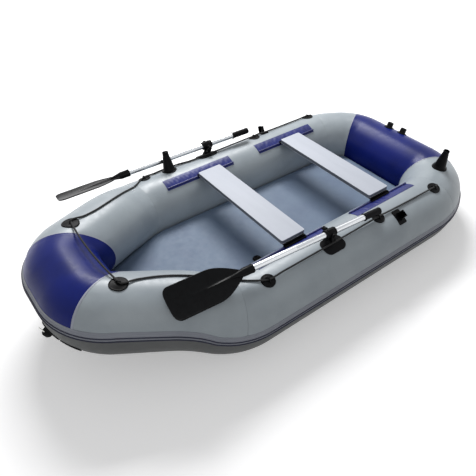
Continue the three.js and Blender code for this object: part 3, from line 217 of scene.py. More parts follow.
@dataclass(frozen=True)
class Grid:
    """Surface through rows and columns of points.

    Attributes:
        points: Array of shape (rows, columns, 3).
        closed_rows: Whether the last row joins the first.
        closed_columns: Whether the last column joins the first.
        cap: How open first and last rows are closed.
        weld: Whether points that lie on each other are made one, where a sheet folds to a line.
        tips: Points at the middle of the two caps, where they aren't the mean of the row.
    """

    points: Array
    closed_rows: bool = False
    closed_columns: bool = True
    cap: Cap = Cap.FAN
    weld: bool = False
    tips: tuple[Array | None, Array | None] = (None, None)

    def placed(self, place: Frame) -> "Grid":
        """The grid carried from a local frame into the boat's frame."""
        tips = tuple(None if tip is None else place.carry(tip) for tip in self.tips)
        return replace(self, points=place.carry(self.points), tips=tips)

    def mirrored(self) -> "Grid":
        """The grid on the other side of the centreline.

        Returns:
            Grid with as many points.
        """
        flip = np.array([1, -1, 1])
        tips = tuple(None if tip is None else tip * flip for tip in self.tips)
        return replace(self, points=self.points * flip, tips=tips)


@dataclass
class Faces:
    """Vertices, faces and map coordinates gathered from grids."""

    vertices: list[Array] = field(default_factory=list)
    corners: list[Array] = field(default_factory=list)
    sizes: list[Array] = field(default_factory=list)
    maps: list[Array] = field(default_factory=list)
    count: int = 0

    def add(self, grid: Grid) -> None:
        """Adds one grid, turned so that its faces point out.

        Map coordinates are mean distances along the rows and the columns, in metres. The way
        round comes from the sign of the enclosed volume.

        Args:
            grid: Surface to add.
        """
        rows, columns = grid.points.shape[:2]
        points = grid.points.reshape(-1, 3)
        row_ring = np.concatenate([grid.points, grid.points[:1]])
        column_ring = np.concatenate([grid.points, grid.points[:, :1]], axis=1)
        along = np.linalg.norm(np.diff(row_ring, axis=0), axis=2).mean(axis=1)
        across = np.linalg.norm(np.diff(column_ring, axis=1), axis=2).mean(axis=0)
        along = np.concatenate([[0], np.cumsum(along)])
        across = np.concatenate([[0], np.cumsum(across)])
        i = np.arange(rows if grid.closed_rows else rows - 1)[:, None]
        j = np.arange(columns if grid.closed_columns else columns - 1)[None, :]
        i_next, j_next = (i + 1) % rows, (j + 1) % columns
        corners = [i * columns + j, i * columns + j_next, i_next * columns + j_next, i_next * columns + j]
        quads = np.stack(np.broadcast_arrays(*corners), axis=-1).reshape(-1, 4)
        u = np.stack([along[i + k] + 0 * j for k in (0, 0, 1, 1)], axis=-1)
        v = np.stack([across[j + k] + 0 * i for k in (0, 1, 1, 0)], axis=-1)
        faces = [(quads, np.stack([u, v], axis=-1).reshape(-1, 4, 2))]
        if not grid.closed_rows and grid.closed_columns and grid.cap is not Cap.NONE:
            ring = np.arange(columns)
            ring_next = (ring + 1) % columns
            for end, first in ((0, 0), (1, (rows - 1) * columns)):
                order = (ring_next, ring) if end == 0 else (ring, ring_next)
                if grid.cap is Cap.POLYGON:
                    loop = first + (ring[::-1] if end == 0 else ring)
                    faces.append((loop[None, :], np.zeros((1, columns, 2)) + along[rows * end - end]))
                    continue
                tip = grid.tips[end]
                centre = points[first : first + columns].mean(axis=0) if tip is None else tip
                points = np.concatenate([points, centre[None]])
                index = len(points) - 1
                fan = np.stack([np.full(columns, index), first + order[0], first + order[1]], axis=1)
                here = np.full(columns, along[rows * end - end])
                fan_map = np.stack([here, across[:-1]], axis=1)[:, None].repeat(3, axis=1)
                faces.append((fan, fan_map))
        if grid.weld:
            _, first, same = np.unique(np.round(points, 6), axis=0, return_index=True, return_inverse=True)
            same = same.reshape(-1)
            faces = [(same[face], uv) for face, uv in faces]
            points = points[first]
        volume = 0.0
        centred = points - points.mean(axis=0)
        for face, _ in faces:
            for k in range(1, face.shape[1] - 1):
                a, b, c = centred[face[:, 0]], centred[face[:, k]], centred[face[:, k + 1]]
                volume += np.einsum("ij,ij->", a, np.cross(b, c))
        for face, uv in faces:
            if volume < 0:
                face, uv = face[:, ::-1], uv[:, ::-1]
            self.corners.append((face + self.count).reshape(-1))
            self.sizes.append(np.full(len(face), face.shape[1]))
            self.maps.append(uv.reshape(-1, 2))
        self.vertices.append(points)
        self.count += len(points)

    def mesh(self, name: str) -> bpy.types.Mesh:
        """Blender mesh of everything added, smooth, with its map named Skin.

        Args:
            name: Name of the mesh.

        Returns:
            The new mesh.
        """
        corners, sizes = np.concatenate(self.corners), np.concatenate(self.sizes)
        mesh = bpy.data.meshes.new(name)
        mesh.vertices.add(self.count)
        mesh.vertices.foreach_set("co", np.concatenate(self.vertices).astype(np.float32).ravel())
        mesh.loops.add(len(corners))
        mesh.loops.foreach_set("vertex_index", corners.astype(np.int32))
        mesh.polygons.add(len(sizes))
        starts = np.concatenate([[0], np.cumsum(sizes)[:-1]]).astype(np.int32)
        mesh.polygons.foreach_set("loop_start", starts)
        mesh.polygons.foreach_set("loop_total", sizes.astype(np.int32))
        mesh.polygons.foreach_set("use_smooth", np.ones(len(sizes), bool))
        layer = mesh.uv_layers.new(name="Skin")
        layer.data.foreach_set("uv", np.concatenate(self.maps).astype(np.float32).ravel())
        mesh.update(calc_edges=True)
        mesh.validate()
        return mesh


def turned(profile: Array, count: int = 40, ripple: Callable[[Array], Array] | None = None) -> Grid:
    """Profile of radius and height carried round the local Z.

    Args:
        profile: Points (radius, height). A radius of 0 at an end becomes the tip of its cap.
        count: Points round the axis.
        ripple: Function of the turn that scales the radius, such as the lobes of a knob.

    Returns:
        Closed grid; a profile that ends where it starts gives a ring.
    """
    profile = np.asarray(profile, float)
    ring = bool(np.allclose(profile[0], profile[-1]))
    tips: list[Array | None] = [None, None]
    for end in (0, -1):
        if not ring and profile[end, 0] < 1e-9:
            tips[end] = np.array([0, 0, profile[end, 1]])
    keep = slice(0 if tips[0] is None else 1, len(profile) - (tips[-1] is not None or ring))
    profile = profile[keep]
    turn = np.linspace(0, 2 * math.pi, count, endpoint=False)
    scale = np.ones(count) if ripple is None else ripple(turn)
    radius = profile[:, :1] * scale[None, :]
    height = np.broadcast_to(profile[:, 1:], radius.shape)
    points = np.stack([radius * np.cos(turn), radius * np.sin(turn), height], axis=-1)
    return Grid(points, closed_rows=ring, tips=(tips[0], tips[1]))


def extruded(outline: Array, low: float, high: float, edge: float = 0.8 * MM, steps: int = 3) -> Grid:
    """Outline carried up the local Z, its two edges rounded by moving it inward.

    Args:
        outline: Closed outline.
        low: Height of one end.
        high: Height of the other end.
        edge: Radius of the rounded edges.
        steps: Spans in each rounded edge.

    Returns:
        Grid closed by flat polygons.
    """
    turn = np.linspace(0, math.pi / 2, steps + 1)
    insets = edge * (1 - np.sin(turn))
    rises = edge * (1 - np.cos(turn))
    heights = np.concatenate([low + rises, (high - rises)[::-1]])
    insets = np.concatenate([insets, insets[::-1]])
    rows = [raised(outline, distance, height) for distance, height in zip(insets, heights)]
    return Grid(np.stack(rows), cap=Cap.POLYGON)


def swept(path: Array, section: Array, up: Array, closed: bool = False) -> Grid:
    """Section carried along a path.

    The section's first axis lies across the path and its second along the given up direction,
    squared to the path's own tangent.

    Args:
        path: Points of the path, shape (n, 3).
        section: Closed section, shape (m, 2), or one for each point, shape (n, m, 2).
        up: One direction, or one for each point.
        closed: Whether the path returns to its start.

    Returns:
        Grid with a row for each point of the path.
    """
    path = np.asarray(path, float)
    if closed:
        tangent = unit(np.roll(path, -1, axis=0) - np.roll(path, 1, axis=0))
    else:
        tangent = unit(np.gradient(path, axis=0))
    up = np.broadcast_to(np.asarray(up, float), path.shape)
    side = unit(np.cross(tangent, up))
    upward = np.cross(side, tangent)
    section = np.broadcast_to(section, (len(path),) + np.shape(section)[-2:])
    points = path[:, None] + section[..., :1] * side[:, None] + section[..., 1:] * upward[:, None]
    return Grid(points, closed_rows=closed)


# Finishes


def linear(colour: str) -> tuple[float, float, float, float]:
    """Turns an sRGB hex colour into linear values.

    Args:
        colour: Hex colour such as '#aab0b6'.

    Returns:
        Red, green, blue and an alpha of one.
    """
    values = np.array([int(colour[i : i + 2], 16) for i in (1, 3, 5)]) / 255
    low, high = values / 12.92, ((values + 0.055) / 1.055) ** 2.4
    return (*(float(v) for v in np.where(values <= 0.04045, low, high)), 1.0)


def add_node(
    tree: Tree,
    kind: str,
    *values: object,
    to: Socket | None = None,
    stops: Sequence[tuple[float, str]] = (),
    **named: object,
) -> bpy.types.Node:
    """Adds a shader node with its settings and links.

    Args:
        tree: Node tree of the material.
        kind: Blender's type name after 'ShaderNode'.
        values: Values or sockets for its first inputs, in order.
        to: Socket that its first output is linked to.
        stops: Positions on its colour ramp and their hex colours.
        named: The node's attributes in small letters, and its inputs with a capital, where an
            underline stands for a space.

    Returns:
        The new node.
    """
    node = tree.nodes.new(f"ShaderNode{kind}")
    inputs: dict[str | int, object] = dict(enumerate(values))
    for name, value in named.items():
        if name.islower():
            setattr(node, name, value)
        else:
            inputs[name.replace("_", " ")] = value
    for name, value in inputs.items():
        if isinstance(value, Socket):
            tree.links.new(value, node.inputs[name])
        else:
            node.inputs[name].default_value = value
    if stops:
        for element, (position, colour) in zip(node.color_ramp.elements, stops):
            element.position = position
            element.color = linear(colour)
    if to is not None:
        tree.links.new(node.outputs[0], to)
    return node


def wave_scale(spacing: float) -> float:
    """Scale at which Blender's wave texture repeats once in a spacing, in metres."""
    return 2 * math.pi / 20 / spacing


def seen_directly(tree: Tree) -> Socket:
    """Adds nodes that tell the rays that show a surface from those that only light others.

    Args:
        tree: Node tree of a material or of the world.

    Returns:
        Socket that is 1 for camera, glossy and transmission rays and 0 for the rest.
    """
    ray = add_node(tree, "LightPath").outputs
    near = add_node(tree, "Math", ray["Is Camera Ray"], ray["Is Glossy Ray"], operation="MAXIMUM")
    every = add_node(tree, "Math", near.outputs[0], ray["Is Transmission Ray"], operation="MAXIMUM")
    return every.outputs[0]


@dataclass(frozen=True)
class Finish:
    """Surface finish, made into a material once and shared by every piece that has it."""

    name: str
    colour: str
    roughness: float
    slot: str

    def nodes(self, tree: Tree, shader: bpy.types.Node) -> None:
        """Adds the pattern nodes; each kind of finish has its own."""

    def material(self) -> bpy.types.Material:
        """The material of this finish, made when it is first asked for.

        Returns:
            The material, the same one each time.
        """
        found = bpy.data.materials.get(self.name)
        if found:
            return found
        material = bpy.data.materials.new(self.name)
        material.use_nodes = True
        tree = material.node_tree
        shader = tree.nodes["Principled BSDF"]
        shader.inputs["Base Color"].default_value = linear(self.colour)
        shader.inputs["Roughness"].default_value = self.roughness
        material.diffuse_color = linear(self.colour)
        self.nodes(tree, shader)
        return material


def stacked_bumps(
    tree: Tree, shader: bpy.types.Node, heights: Sequence[tuple[Socket, float, float]]
) -> None:
    """Chains bumps into the shader's normal.

    Args:
        tree: Node tree of the material.
        shader: Principled shader.
        heights: For each bump its height socket, strength and depth in metres.
    """
    lower = {}
    for height, strength, depth in heights:
        bump = add_node(tree, "Bump", Height=height, Strength=strength, Distance=depth, **lower)
        lower = {"Normal": bump.outputs["Normal"]}
    tree.links.new(lower["Normal"], shader.inputs["Normal"])


@dataclass(frozen=True)
class CoatedFabric(Finish):
    """PVC-coated polyester, calendered: satin film over a plain weave that only just prints through.

    Threads are about 1 mm apart, too fine for the picture, so they are drawn 3 mm apart.
    """

    shade: str
    thread: float = 3 * MM
    weave_depth: float = 0.05 * MM
    crease_size: float = 0.22
    crease_depth: float = 2.2 * MM
    specular: float = 0.5
    # Repeats per metre: clouds are about 180 mm across and rubbed patches 26 mm
    clouds: float = 5.5
    rubbed: float = 38.0

    def nodes(self, tree: Tree, shader: bpy.types.Node) -> None:
        """Adds cloudy colour, the weave and broad soft creases.

        Args:
            tree: Node tree of the material.
            shader: Principled shader.
        """
        shader.inputs["IOR"].default_value = POLYMER_IOR
        shader.inputs["Specular IOR Level"].default_value = self.specular
        place = add_node(tree, "TexCoord").outputs
        here, skin = place["Object"], place["UV"]
        cloud = add_node(tree, "TexNoise", Vector=here, Scale=self.clouds, Detail=4.0, Roughness=0.55)
        add_node(
            tree, "ValToRGB", cloud.outputs["Fac"], to=shader.inputs["Base Color"],
            stops=[(0.32, self.shade), (0.6, self.colour)],
        )
        threads = [
            add_node(
                tree, "TexWave", Vector=skin, Scale=wave_scale(self.thread), Distortion=0.6, Detail=1.0,
                bands_direction=axis,
            ).outputs["Fac"]
            for axis in ("X", "Y")
        ]
        weave = add_node(tree, "Math", *threads, operation="MULTIPLY")
        size = 1 / self.crease_size
        crease = add_node(tree, "TexNoise", Vector=here, Scale=size, Detail=2.0, Roughness=0.4)
        rub = add_node(tree, "TexNoise", Vector=here, Scale=self.rubbed, Detail=3.0)
        add_node(
            tree, "MapRange", rub.outputs["Fac"], to=shader.inputs["Roughness"],
            From_Min=0.3, From_Max=0.7, To_Min=self.roughness - 0.04, To_Max=self.roughness + 0.05,
        )
        creases = (crease.outputs["Fac"], 0.5, self.crease_depth)
        stacked_bumps(tree, shader, [creases, (weave.outputs["Value"], 0.35, self.weave_depth)])


@dataclass(frozen=True)
class MouldedPlastic(Finish):
    """Glass-filled nylon, injection moulded: black, with a fine spark-eroded grain.

    The grain is about 0.2 mm, drawn at 1.2 mm so that it breaks the highlights in the picture.
    """

    grain: float = 1.2 * MM
    grain_depth: float = 0.06 * MM
    dust: str = "#0d0e10"
    specular: float = 0.07
    # Repeats per metre: chalky patches are about 24 mm across
    chalk: float = 42.0

    def nodes(self, tree: Tree, shader: bpy.types.Node) -> None:
        """Adds the grain and a slightly chalky unevenness.

        Args:
            tree: Node tree of the material.
            shader: Principled shader.
        """
        shader.inputs["IOR"].default_value = POLYMER_IOR
        shader.inputs["Specular IOR Level"].default_value = self.specular
        here = add_node(tree, "TexCoord").outputs["Object"]
        grain = add_node(tree, "TexVoronoi", Vector=here, Scale=1 / self.grain)
        cloud = add_node(tree, "TexNoise", Vector=here, Scale=self.chalk, Detail=3.0).outputs["Fac"]
        add_node(
            tree, "ValToRGB", cloud, to=shader.inputs["Base Color"],
            stops=[(0.35, self.colour), (0.75, self.dust)],
        )
        add_node(
            tree, "MapRange", cloud, to=shader.inputs["Roughness"],
            To_Min=self.roughness - 0.08, To_Max=self.roughness + 0.1,
        )
        stacked_bumps(tree, shader, [(grain.outputs["Distance"], 0.4, self.grain_depth)])


@dataclass(frozen=True)
class DrawnAluminium(Finish):
    """Anodised aluminium tube, drawn and polished: fine lines run the length of the tube.

    The lines are finer than the picture shows, so they are drawn 7 mm apart and faint.
    """

    line: float = 7 * MM
    groove: str = "#a2a7ac"

    def nodes(self, tree: Tree, shader: bpy.types.Node) -> None:
        """Adds the drawing lines, in the tube's own map.

        Args:
            tree: Node tree of the material.
            shader: Principled shader.
        """
        shader.inputs["Metallic"].default_value = 1.0
        skin = add_node(tree, "TexCoord").outputs["UV"]
        stretched = add_node(tree, "Mapping", Vector=skin, Scale=(1.5, 1 / self.line, 1.0)).outputs["Vector"]
        lines = add_node(tree, "TexNoise", Vector=stretched, Scale=1.0, Detail=3.0).outputs["Fac"]
        add_node(
            tree, "MapRange", lines, to=shader.inputs["Roughness"],
            From_Min=0.3, From_Max=0.7, To_Min=self.roughness - 0.05, To_Max=self.roughness + 0.07,
        )
        add_node(
            tree, "ValToRGB", lines, to=shader.inputs["Base Color"],
            stops=[(0.35, self.groove), (0.6, self.colour)],
        )
        stacked_bumps(tree, shader, [(lines, 0.12, 0.03 * MM)])


@dataclass(frozen=True)
class BraidedRope(Finish):
    """Polyester braid, dull black: strands cross at 45 degrees round the line; the valleys get painted
    shade.
    """

    pitch: float = 7 * MM
    valley_shade: str = "#08080a"

    def nodes(self, tree: Tree, shader: bpy.types.Node) -> None:
        """Adds two sets of diagonal strands, in the line's own map, and painted shade in their valleys.

        Args:
            tree: Node tree of the material.
            shader: Principled shader.
        """
        shader.inputs["Sheen Weight"].default_value = 0.03
        skin = add_node(tree, "TexCoord").outputs["UV"]
        strands = []
        for angle in (math.pi / 4, -math.pi / 4):
            slanted = add_node(tree, "Mapping", Vector=skin, Rotation=(0.0, 0.0, angle)).outputs["Vector"]
            strand = add_node(tree, "TexWave", Vector=slanted, Scale=wave_scale(self.pitch))
            strands.append(strand.outputs["Fac"])
        braid = add_node(tree, "Math", *strands, operation="MAXIMUM").outputs["Value"]
        # The valleys between the strands are coloured darker: painted shade.
        add_node(
            tree, "ValToRGB", braid, to=shader.inputs["Base Color"],
            stops=[(0.2, self.valley_shade), (0.9, self.colour)],
        )
        stacked_bumps(tree, shader, [(braid, 0.6, 0.5 * MM)])


@dataclass(frozen=True)
class PaintedBoard(Finish):
    """Marine plywood in polyurethane enamel: pale, even, with a faint orange peel from the spray gun."""

    peel: float = 4 * MM
    shade: str = "#b9bec9"

    def nodes(self, tree: Tree, shader: bpy.types.Node) -> None:
        """Adds the orange peel and faint scuffs along the board.

        Args:
            tree: Node tree of the material.
            shader: Principled shader.
        """
        here = add_node(tree, "TexCoord").outputs["Object"]
        peel = add_node(tree, "TexNoise", Vector=here, Scale=1 / self.peel, Detail=2.0)
        stretched = add_node(tree, "Mapping", Vector=here, Scale=(26.0, 3.0, 8.0)).outputs["Vector"]
        scuff = add_node(tree, "TexNoise", Vector=stretched, Scale=1.0, Detail=6.0)
        add_node(
            tree, "ValToRGB", scuff.outputs["Fac"], to=shader.inputs["Base Color"],
            stops=[(0.25, self.shade), (0.55, self.colour)],
        )
        stacked_bumps(tree, shader, [(peel.outputs["Fac"], 0.25, 0.08 * MM)])


@dataclass(frozen=True)
class PolishedSteel(Finish):
    """Stainless steel wire and pins, tumbled bright: a mirror with faint handling marks."""

    # Repeats per metre: marks are about 6 mm across
    marks: float = 160.0

    def nodes(self, tree: Tree, shader: bpy.types.Node) -> None:
        """Adds faint handling marks to the roughness.

        Args:
            tree: Node tree of the material.
            shader: Principled shader.
        """
        shader.inputs["Metallic"].default_value = 1.0
        here = add_node(tree, "TexCoord").outputs["Object"]
        marks = add_node(tree, "TexNoise", Vector=here, Scale=self.marks, Detail=4.0)
        add_node(
            tree, "MapRange", marks.outputs["Fac"], to=shader.inputs["Roughness"],
            To_Min=self.roughness - 0.06, To_Max=self.roughness + 0.1,
        )


GREY_PVC = CoatedFabric("light grey PVC fabric", "#a2abb1", 0.38, "grey_fabric", "#969fa6", specular=0.42)
NAVY_PVC = CoatedFabric(
    "navy PVC fabric", "#0e1e70", 0.34, "navy_fabric", "#0a185e", crease_depth=1.6 * MM, specular=0.15
)
BOTTOM_PVC = CoatedFabric(
    "grey bottom PVC fabric", "#6a6c6c", 0.55, "bottom_fabric", "#606262", specular=0.3
)
FLOOR_PVC = CoatedFabric(
    "slate floor PVC fabric", "#6c7d93", 0.55, "floor_fabric", "#62728a",
    crease_size=0.3, crease_depth=3 * MM, specular=0.3,
)
TRACK_PVC = CoatedFabric(
    "royal blue PVC fabric", "#1d2977", 0.4, "track_fabric", "#151e5e",
    crease_size=0.045, crease_depth=0.9 * MM, specular=0.3,
)
BEAD_PVC = CoatedFabric("navy bead cover", "#1a2168", 0.4, "track_fabric", "#141a55")
STRAKE_VINYL = CoatedFabric(
    "lavender grey extruded vinyl", "#868a94", 0.45, "strake_rubber", "#7e828c", crease_depth=0.6 * MM
)
PIPING_VINYL = CoatedFabric(
    "navy piping vinyl", "#14172f", 0.42, "strake_rubber", "#0f1228", crease_depth=0.4 * MM, specular=0.3
)
TAPE_PVC = CoatedFabric("pale seam tape", "#a7abb8", 0.45, "grey_fabric", "#9ca0ad", crease_depth=0.3 * MM)
BLACK_NYLON = MouldedPlastic("black moulded nylon", "#08080a", 0.4, "black_plastic")
BLACK_RUBBER = MouldedPlastic(
    "black moulded rubber", "#0b0b0d", 0.56, "black_rubber", 2 * MM, grain_depth=0.08 * MM, dust="#101113"
)
BLADE_NYLON = MouldedPlastic("black blade polypropylene", "#08090b", 0.28, "black_plastic", grain=1.6 * MM)
OAR_ALUMINIUM = DrawnAluminium("polished aluminium tube", "#eef0f3", 0.24, "oar_tube")
ROPE = BraidedRope("black polyester braid", "#0b0b0d", 0.8, "black_rope")
SEAT_ENAMEL = PaintedBoard("pale grey seat enamel", "#bec3ce", 0.55, "seat_board")
# The seat edge's darker grey is painted shade: it stands for the shade on the board's side faces.
SEAT_EDGE_SHADE = PaintedBoard("seat edge painted shade grey", "#6f747c", 0.55, "seat_board", shade="#646971")
STEEL = PolishedSteel("stainless steel", "#d6d6d3", 0.2, "steel")


# Pieces


def add_piece(
    name: str,
    grids: Sequence[Grid],
    finish: Finish,
    body: str,
    nodes: Sequence[str] = (),
    side: Side = Side.PORT,
) -> bpy.types.Object:
    """Makes one piece of the boat.

    Args:
        name: Name of the piece.
        grids: Surfaces that it is made of, drawn for port.
        finish: Finish of the whole piece.
        body: CAD body that it moves with.
        nodes: CAD nodes that it stands for.
        side: Side that it is wanted on; starboard mirrors it.

    Returns:
        The new object, riding on its body.
    """
    faces = Faces()
    for grid in grids:
        faces.add(grid if side is Side.PORT else grid.mirrored())
    mesh = faces.mesh(name)
    mesh.set_sharp_from_angle(angle=SHARP_ANGLE)
    mesh.materials.append(finish.material())
    piece = bpy.data.objects.new(name, mesh)
    bpy.context.scene.collection.objects.link(piece)
    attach(piece, body)
    if nodes:
        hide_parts(*nodes)
    log.info("%s: %d faces, for %s", name, len(mesh.polygons), ", ".join(nodes) or "itself")
    return piece


# Hull tube


@dataclass
class HullPath:
    """Centre line of the hull tube, and points on the skin round it.

    Distances run along the line from the middle of the stern, positive to port and negative to
    starboard. Angles go round the tube from its inboard side over the top, in degrees.
    """

    radius: float = 174.4 * MM
    bend_radius_base: float = 175 * MM
    axis_height: float = 176.8 * MM
    stern_x: float = -1077 * MM
    stern_corner_y: float = 332 * MM
    aft_corner_x: float = -848 * MM
    side_y: float = 465 * MM
    fore_corner_x: float = 544 * MM
    rise_corner_x: float = 703 * MM
    rise_corner_y: float = 369 * MM
    rise_lift: float = 77 * MM
    bow_x: float = 1081 * MM
    bow_corner_y: float = 176 * MM
    bow_lift: float = 133 * MM
    inner_bends: tuple[float, ...] = (19 * MM, 265 * MM, 102 * MM, 547 * MM, 3 * MM)
    shared_leg_share: float = 0.49
    end_leg_share: float = 0.95
    step: float = 4 * MM
    bow_seam_share: float = 0.25
    bow_seam_angle: float = -67.4
    bow_seam_tilt: float = -1.9
    seam_pull: float = 1.3 * MM
    seam_width: float = 16 * MM
    pucker: float = 0.55 * MM
    pucker_reach: float = 45 * MM

    def __post_init__(self) -> None:
        """Works out the line: straight legs joined by circular bends."""
        h = self.axis_height
        corners = np.array(
            [
                [self.stern_x, 0, h],
                [self.stern_x, self.stern_corner_y, h],
                [self.aft_corner_x, self.side_y, h],
                [self.fore_corner_x, self.side_y, h],
                [self.rise_corner_x, self.rise_corner_y, h + self.rise_lift],
                [self.bow_x, self.bow_corner_y, h + self.bow_lift],
                [self.bow_x, 0, h + self.bow_lift],
            ]
        )
        points, marks = [corners[:1]], []
        for k, inner in enumerate(self.inner_bends, start=1):
            leg_in, leg_out = corners[k] - corners[k - 1], corners[k + 1] - corners[k]
            u, w = unit(leg_in), unit(leg_out)
            turn = math.acos(float(np.clip(u @ w, -1, 1)))
            room_in = np.linalg.norm(leg_in) * (self.end_leg_share if k == 1 else self.shared_leg_share)
            last = k == len(self.inner_bends)
            room_out = np.linalg.norm(leg_out) * (self.end_leg_share if last else self.shared_leg_share)
            reach = min((self.bend_radius_base + inner) * math.tan(turn / 2), room_in, room_out)
            bend = reach / math.tan(turn / 2)
            across = unit(w - u * math.cos(turn))
            a = np.linspace(0, turn, max(12, int(bend * turn / self.step)))[:, None]
            arc = corners[k] - u * reach + bend * (np.sin(a) * u + (1 - np.cos(a)) * across)
            start = points[-1][-1]
            count = max(2, int(np.linalg.norm(arc[0] - start) / self.step))
            points.append(start + (arc[0] - start) * np.linspace(0, 1, count, endpoint=False)[1:, None])
            marks.append((sum(len(p) for p in points), len(arc)))
            points.append(arc)
        start = points[-1][-1]
        points.append(start + (corners[-1] - start) * np.linspace(0, 1, 12)[1:, None])
        self.line = np.concatenate(points)
        spans = np.linalg.norm(np.diff(self.line, axis=0), axis=1)
        self.reach = np.concatenate([[0], np.cumsum(spans)])
        self.length = float(self.reach[-1])
        self.heading = unit(np.gradient(self.line, self.reach, axis=0))
        self.heading[0] = [0, 1, 0]
        self.heading[-1] = [0, -1, 0]
        self.starts = np.array([self.reach[first] for first, _ in marks])
        self.ends = np.array([self.reach[first + count - 1] for first, count in marks])
        self.middles = (self.starts + self.ends) / 2
        self._find_bow_seam()

    def _find_bow_seam(self) -> None:
        """Finds where the slanted bow seam crosses the tube at each angle round it."""
        self.seam_angles = np.arange(0, 361, 3.0)
        here = self.starts[4] + self.bow_seam_share * (self.ends[4] - self.starts[4])
        point = self.sample(np.array([here]))[0][0]
        heading, tilt = math.radians(self.bow_seam_angle), math.radians(self.bow_seam_tilt)
        level = math.cos(tilt)
        normal = np.array([math.cos(heading) * level, math.sin(heading) * level, math.sin(tilt)])
        s = np.linspace(here - 0.35, min(here + 0.35, self.length + 0.05), 300)
        centre, _, inboard, up = self.sample(s)
        a = np.radians(self.seam_angles)[:, None, None]
        skin = centre + self.radius * (np.cos(a) * inboard + np.sin(a) * up)
        beyond = (skin - point) @ normal
        crossing = np.argmax(beyond > 0, axis=1)
        rows = np.arange(len(self.seam_angles))
        low, high = beyond[rows, crossing - 1], beyond[rows, crossing]
        self.seam_table = s[crossing - 1] + (s[1] - s[0]) * (-low) / (high - low)

    def bow_seam(self, angle: Array) -> Array:
        """Distance along the line at which the bow seam lies, for angles round the tube."""
        return np.interp(np.mod(angle, 360), self.seam_angles, self.seam_table)

    def at_x(self, x: float) -> float:
        """Distance along the port side at which the line has the given X.

        Args:
            x: X in the boat's frame.

        Returns:
            Distance in metres.
        """
        ahead = int(np.argmax((self.line[:, 0] >= x) & (self.reach > 0.05)))
        before = self.line[ahead - 1, 0]
        share = (x - before) / (self.line[ahead, 0] - before)
        return float(self.reach[ahead - 1] + share * (self.reach[ahead] - self.reach[ahead - 1]))

    def all_round(self, count: int) -> Array:
        """Even distances from the bow down starboard, round the stern and up port."""
        return np.linspace(-self.length, self.length, count, endpoint=False)

    def spot(self, x: float, angle: float, turn: float = 0.0) -> "Spot":
        """Place of a fitting at an X and an angle round the tube."""
        return Spot(self, self.at_x(x), angle, turn)

    def sample(self, s: Array) -> tuple[Array, Array, Array, Array]:
        """Points and directions on the line.

        Args:
            s: Distances along the line.

        Returns:
            Points, headings, inboard directions and upward directions, each with a last axis of 3.
        """
        s = np.mod(np.asarray(s, float) + self.length, 2 * self.length) - self.length
        side = np.where(s < 0, -1.0, 1.0)
        reach = np.abs(s)
        point = np.stack([np.interp(reach, self.reach, self.line[:, k]) for k in range(3)], axis=-1)
        heading = np.stack([np.interp(reach, self.reach, self.heading[:, k]) for k in range(3)], axis=-1)
        point[..., 1] *= side
        heading[..., 0] *= side
        heading[..., 2] *= side
        heading = unit(heading)
        inboard = unit(np.cross(heading, WORLD.z))
        return point, heading, inboard, np.cross(inboard, heading)

    def relief(self, s: Array, angle: Array) -> Array:
        """How far the fabric stands off a plain tube.

        Each seam pulls it in along a bell curve, and puckers run out of the seam and fade.

        Args:
            s: Distances along the line.
            angle: Angles round the tube.

        Returns:
            Offsets in metres.
        """
        s = np.mod(np.asarray(s, float) + self.length, 2 * self.length) - self.length
        reach = np.abs(s)
        turn = np.radians(angle)
        total = np.zeros(np.broadcast(s, turn).shape)
        for number, seam in enumerate([*self.middles[:3], None]):
            gap = reach - (self.bow_seam(angle) if seam is None else seam)
            total -= self.seam_pull * np.exp(-((gap / self.seam_width) ** 2))
            folds = np.cos(17 * turn + 2.1 * number + 30 * reach) + 0.7 * np.cos(29 * turn - number)
            fade = np.exp(-((gap / self.pucker_reach) ** 2)) * (1 - np.exp(-((gap / (6 * MM)) ** 2)))
            total += self.pucker * folds * fade
        return total

    def skin(self, s: Array, angle: Array, offset: Array | float = 0.0, plain: bool = False) -> Array:
        """Points on the skin.

        A point lies a tube radius from the line, in the direction given by the angle.

        Args:
            s: Distances along the line.
            angle: Angles round the tube.
            offset: Height above the skin.
            plain: Whether puckers are left out.

        Returns:
            Points with a last axis of 3.
        """
        s, angle = np.broadcast_arrays(np.asarray(s, float), np.asarray(angle, float))
        centre, _, inboard, up = self.sample(s)
        turn = np.radians(angle)[..., None]
        lift = 0 if plain else self.relief(s, angle)
        radius = (self.radius + np.asarray(offset) + lift)[..., None]
        return centre + radius * (np.cos(turn) * inboard + np.sin(turn) * up)


@dataclass(frozen=True)
class Spot:
    """Place of a fitting on the port half of the tube.

    Attributes:
        hull: The hull's path.
        s: Distance along its line.
        angle: Angle round the tube.
        turn: Turn of the fitting about the outward direction, in degrees.
    """

    hull: HullPath
    s: float
    angle: float
    turn: float = 0.0

    def wrap(self, points: Array) -> Array:
        """Carries local points on to the curved skin.

        The first coordinate runs along the tube, the second round it, the third is the height.

        Args:
            points: Local points, last axis 3.

        Returns:
            Points in the boat's frame.
        """
        c, s = math.cos(math.radians(self.turn)), math.sin(math.radians(self.turn))
        along = c * points[..., 0] - s * points[..., 1]
        around = s * points[..., 0] + c * points[..., 1]
        angle = self.angle + np.degrees(around / self.hull.radius)
        return self.hull.skin(self.s + along, angle, points[..., 2], plain=True)

    def frame(self) -> Frame:
        """Rigid frame on the skin: X along the tube, Y round it and Z straight out.

        Returns:
            Frame whose origin lies on the skin.
        """
        _, heading, inboard, up = (part[0] for part in self.hull.sample(np.array([self.s])))
        turn = math.radians(self.angle)
        out = math.cos(turn) * inboard + math.sin(turn) * up
        origin = self.hull.skin(np.array([self.s]), np.array([self.angle]), 0.0, plain=True)[0]
        return Frame(origin, heading, np.cross(out, heading), out).spun(self.turn)


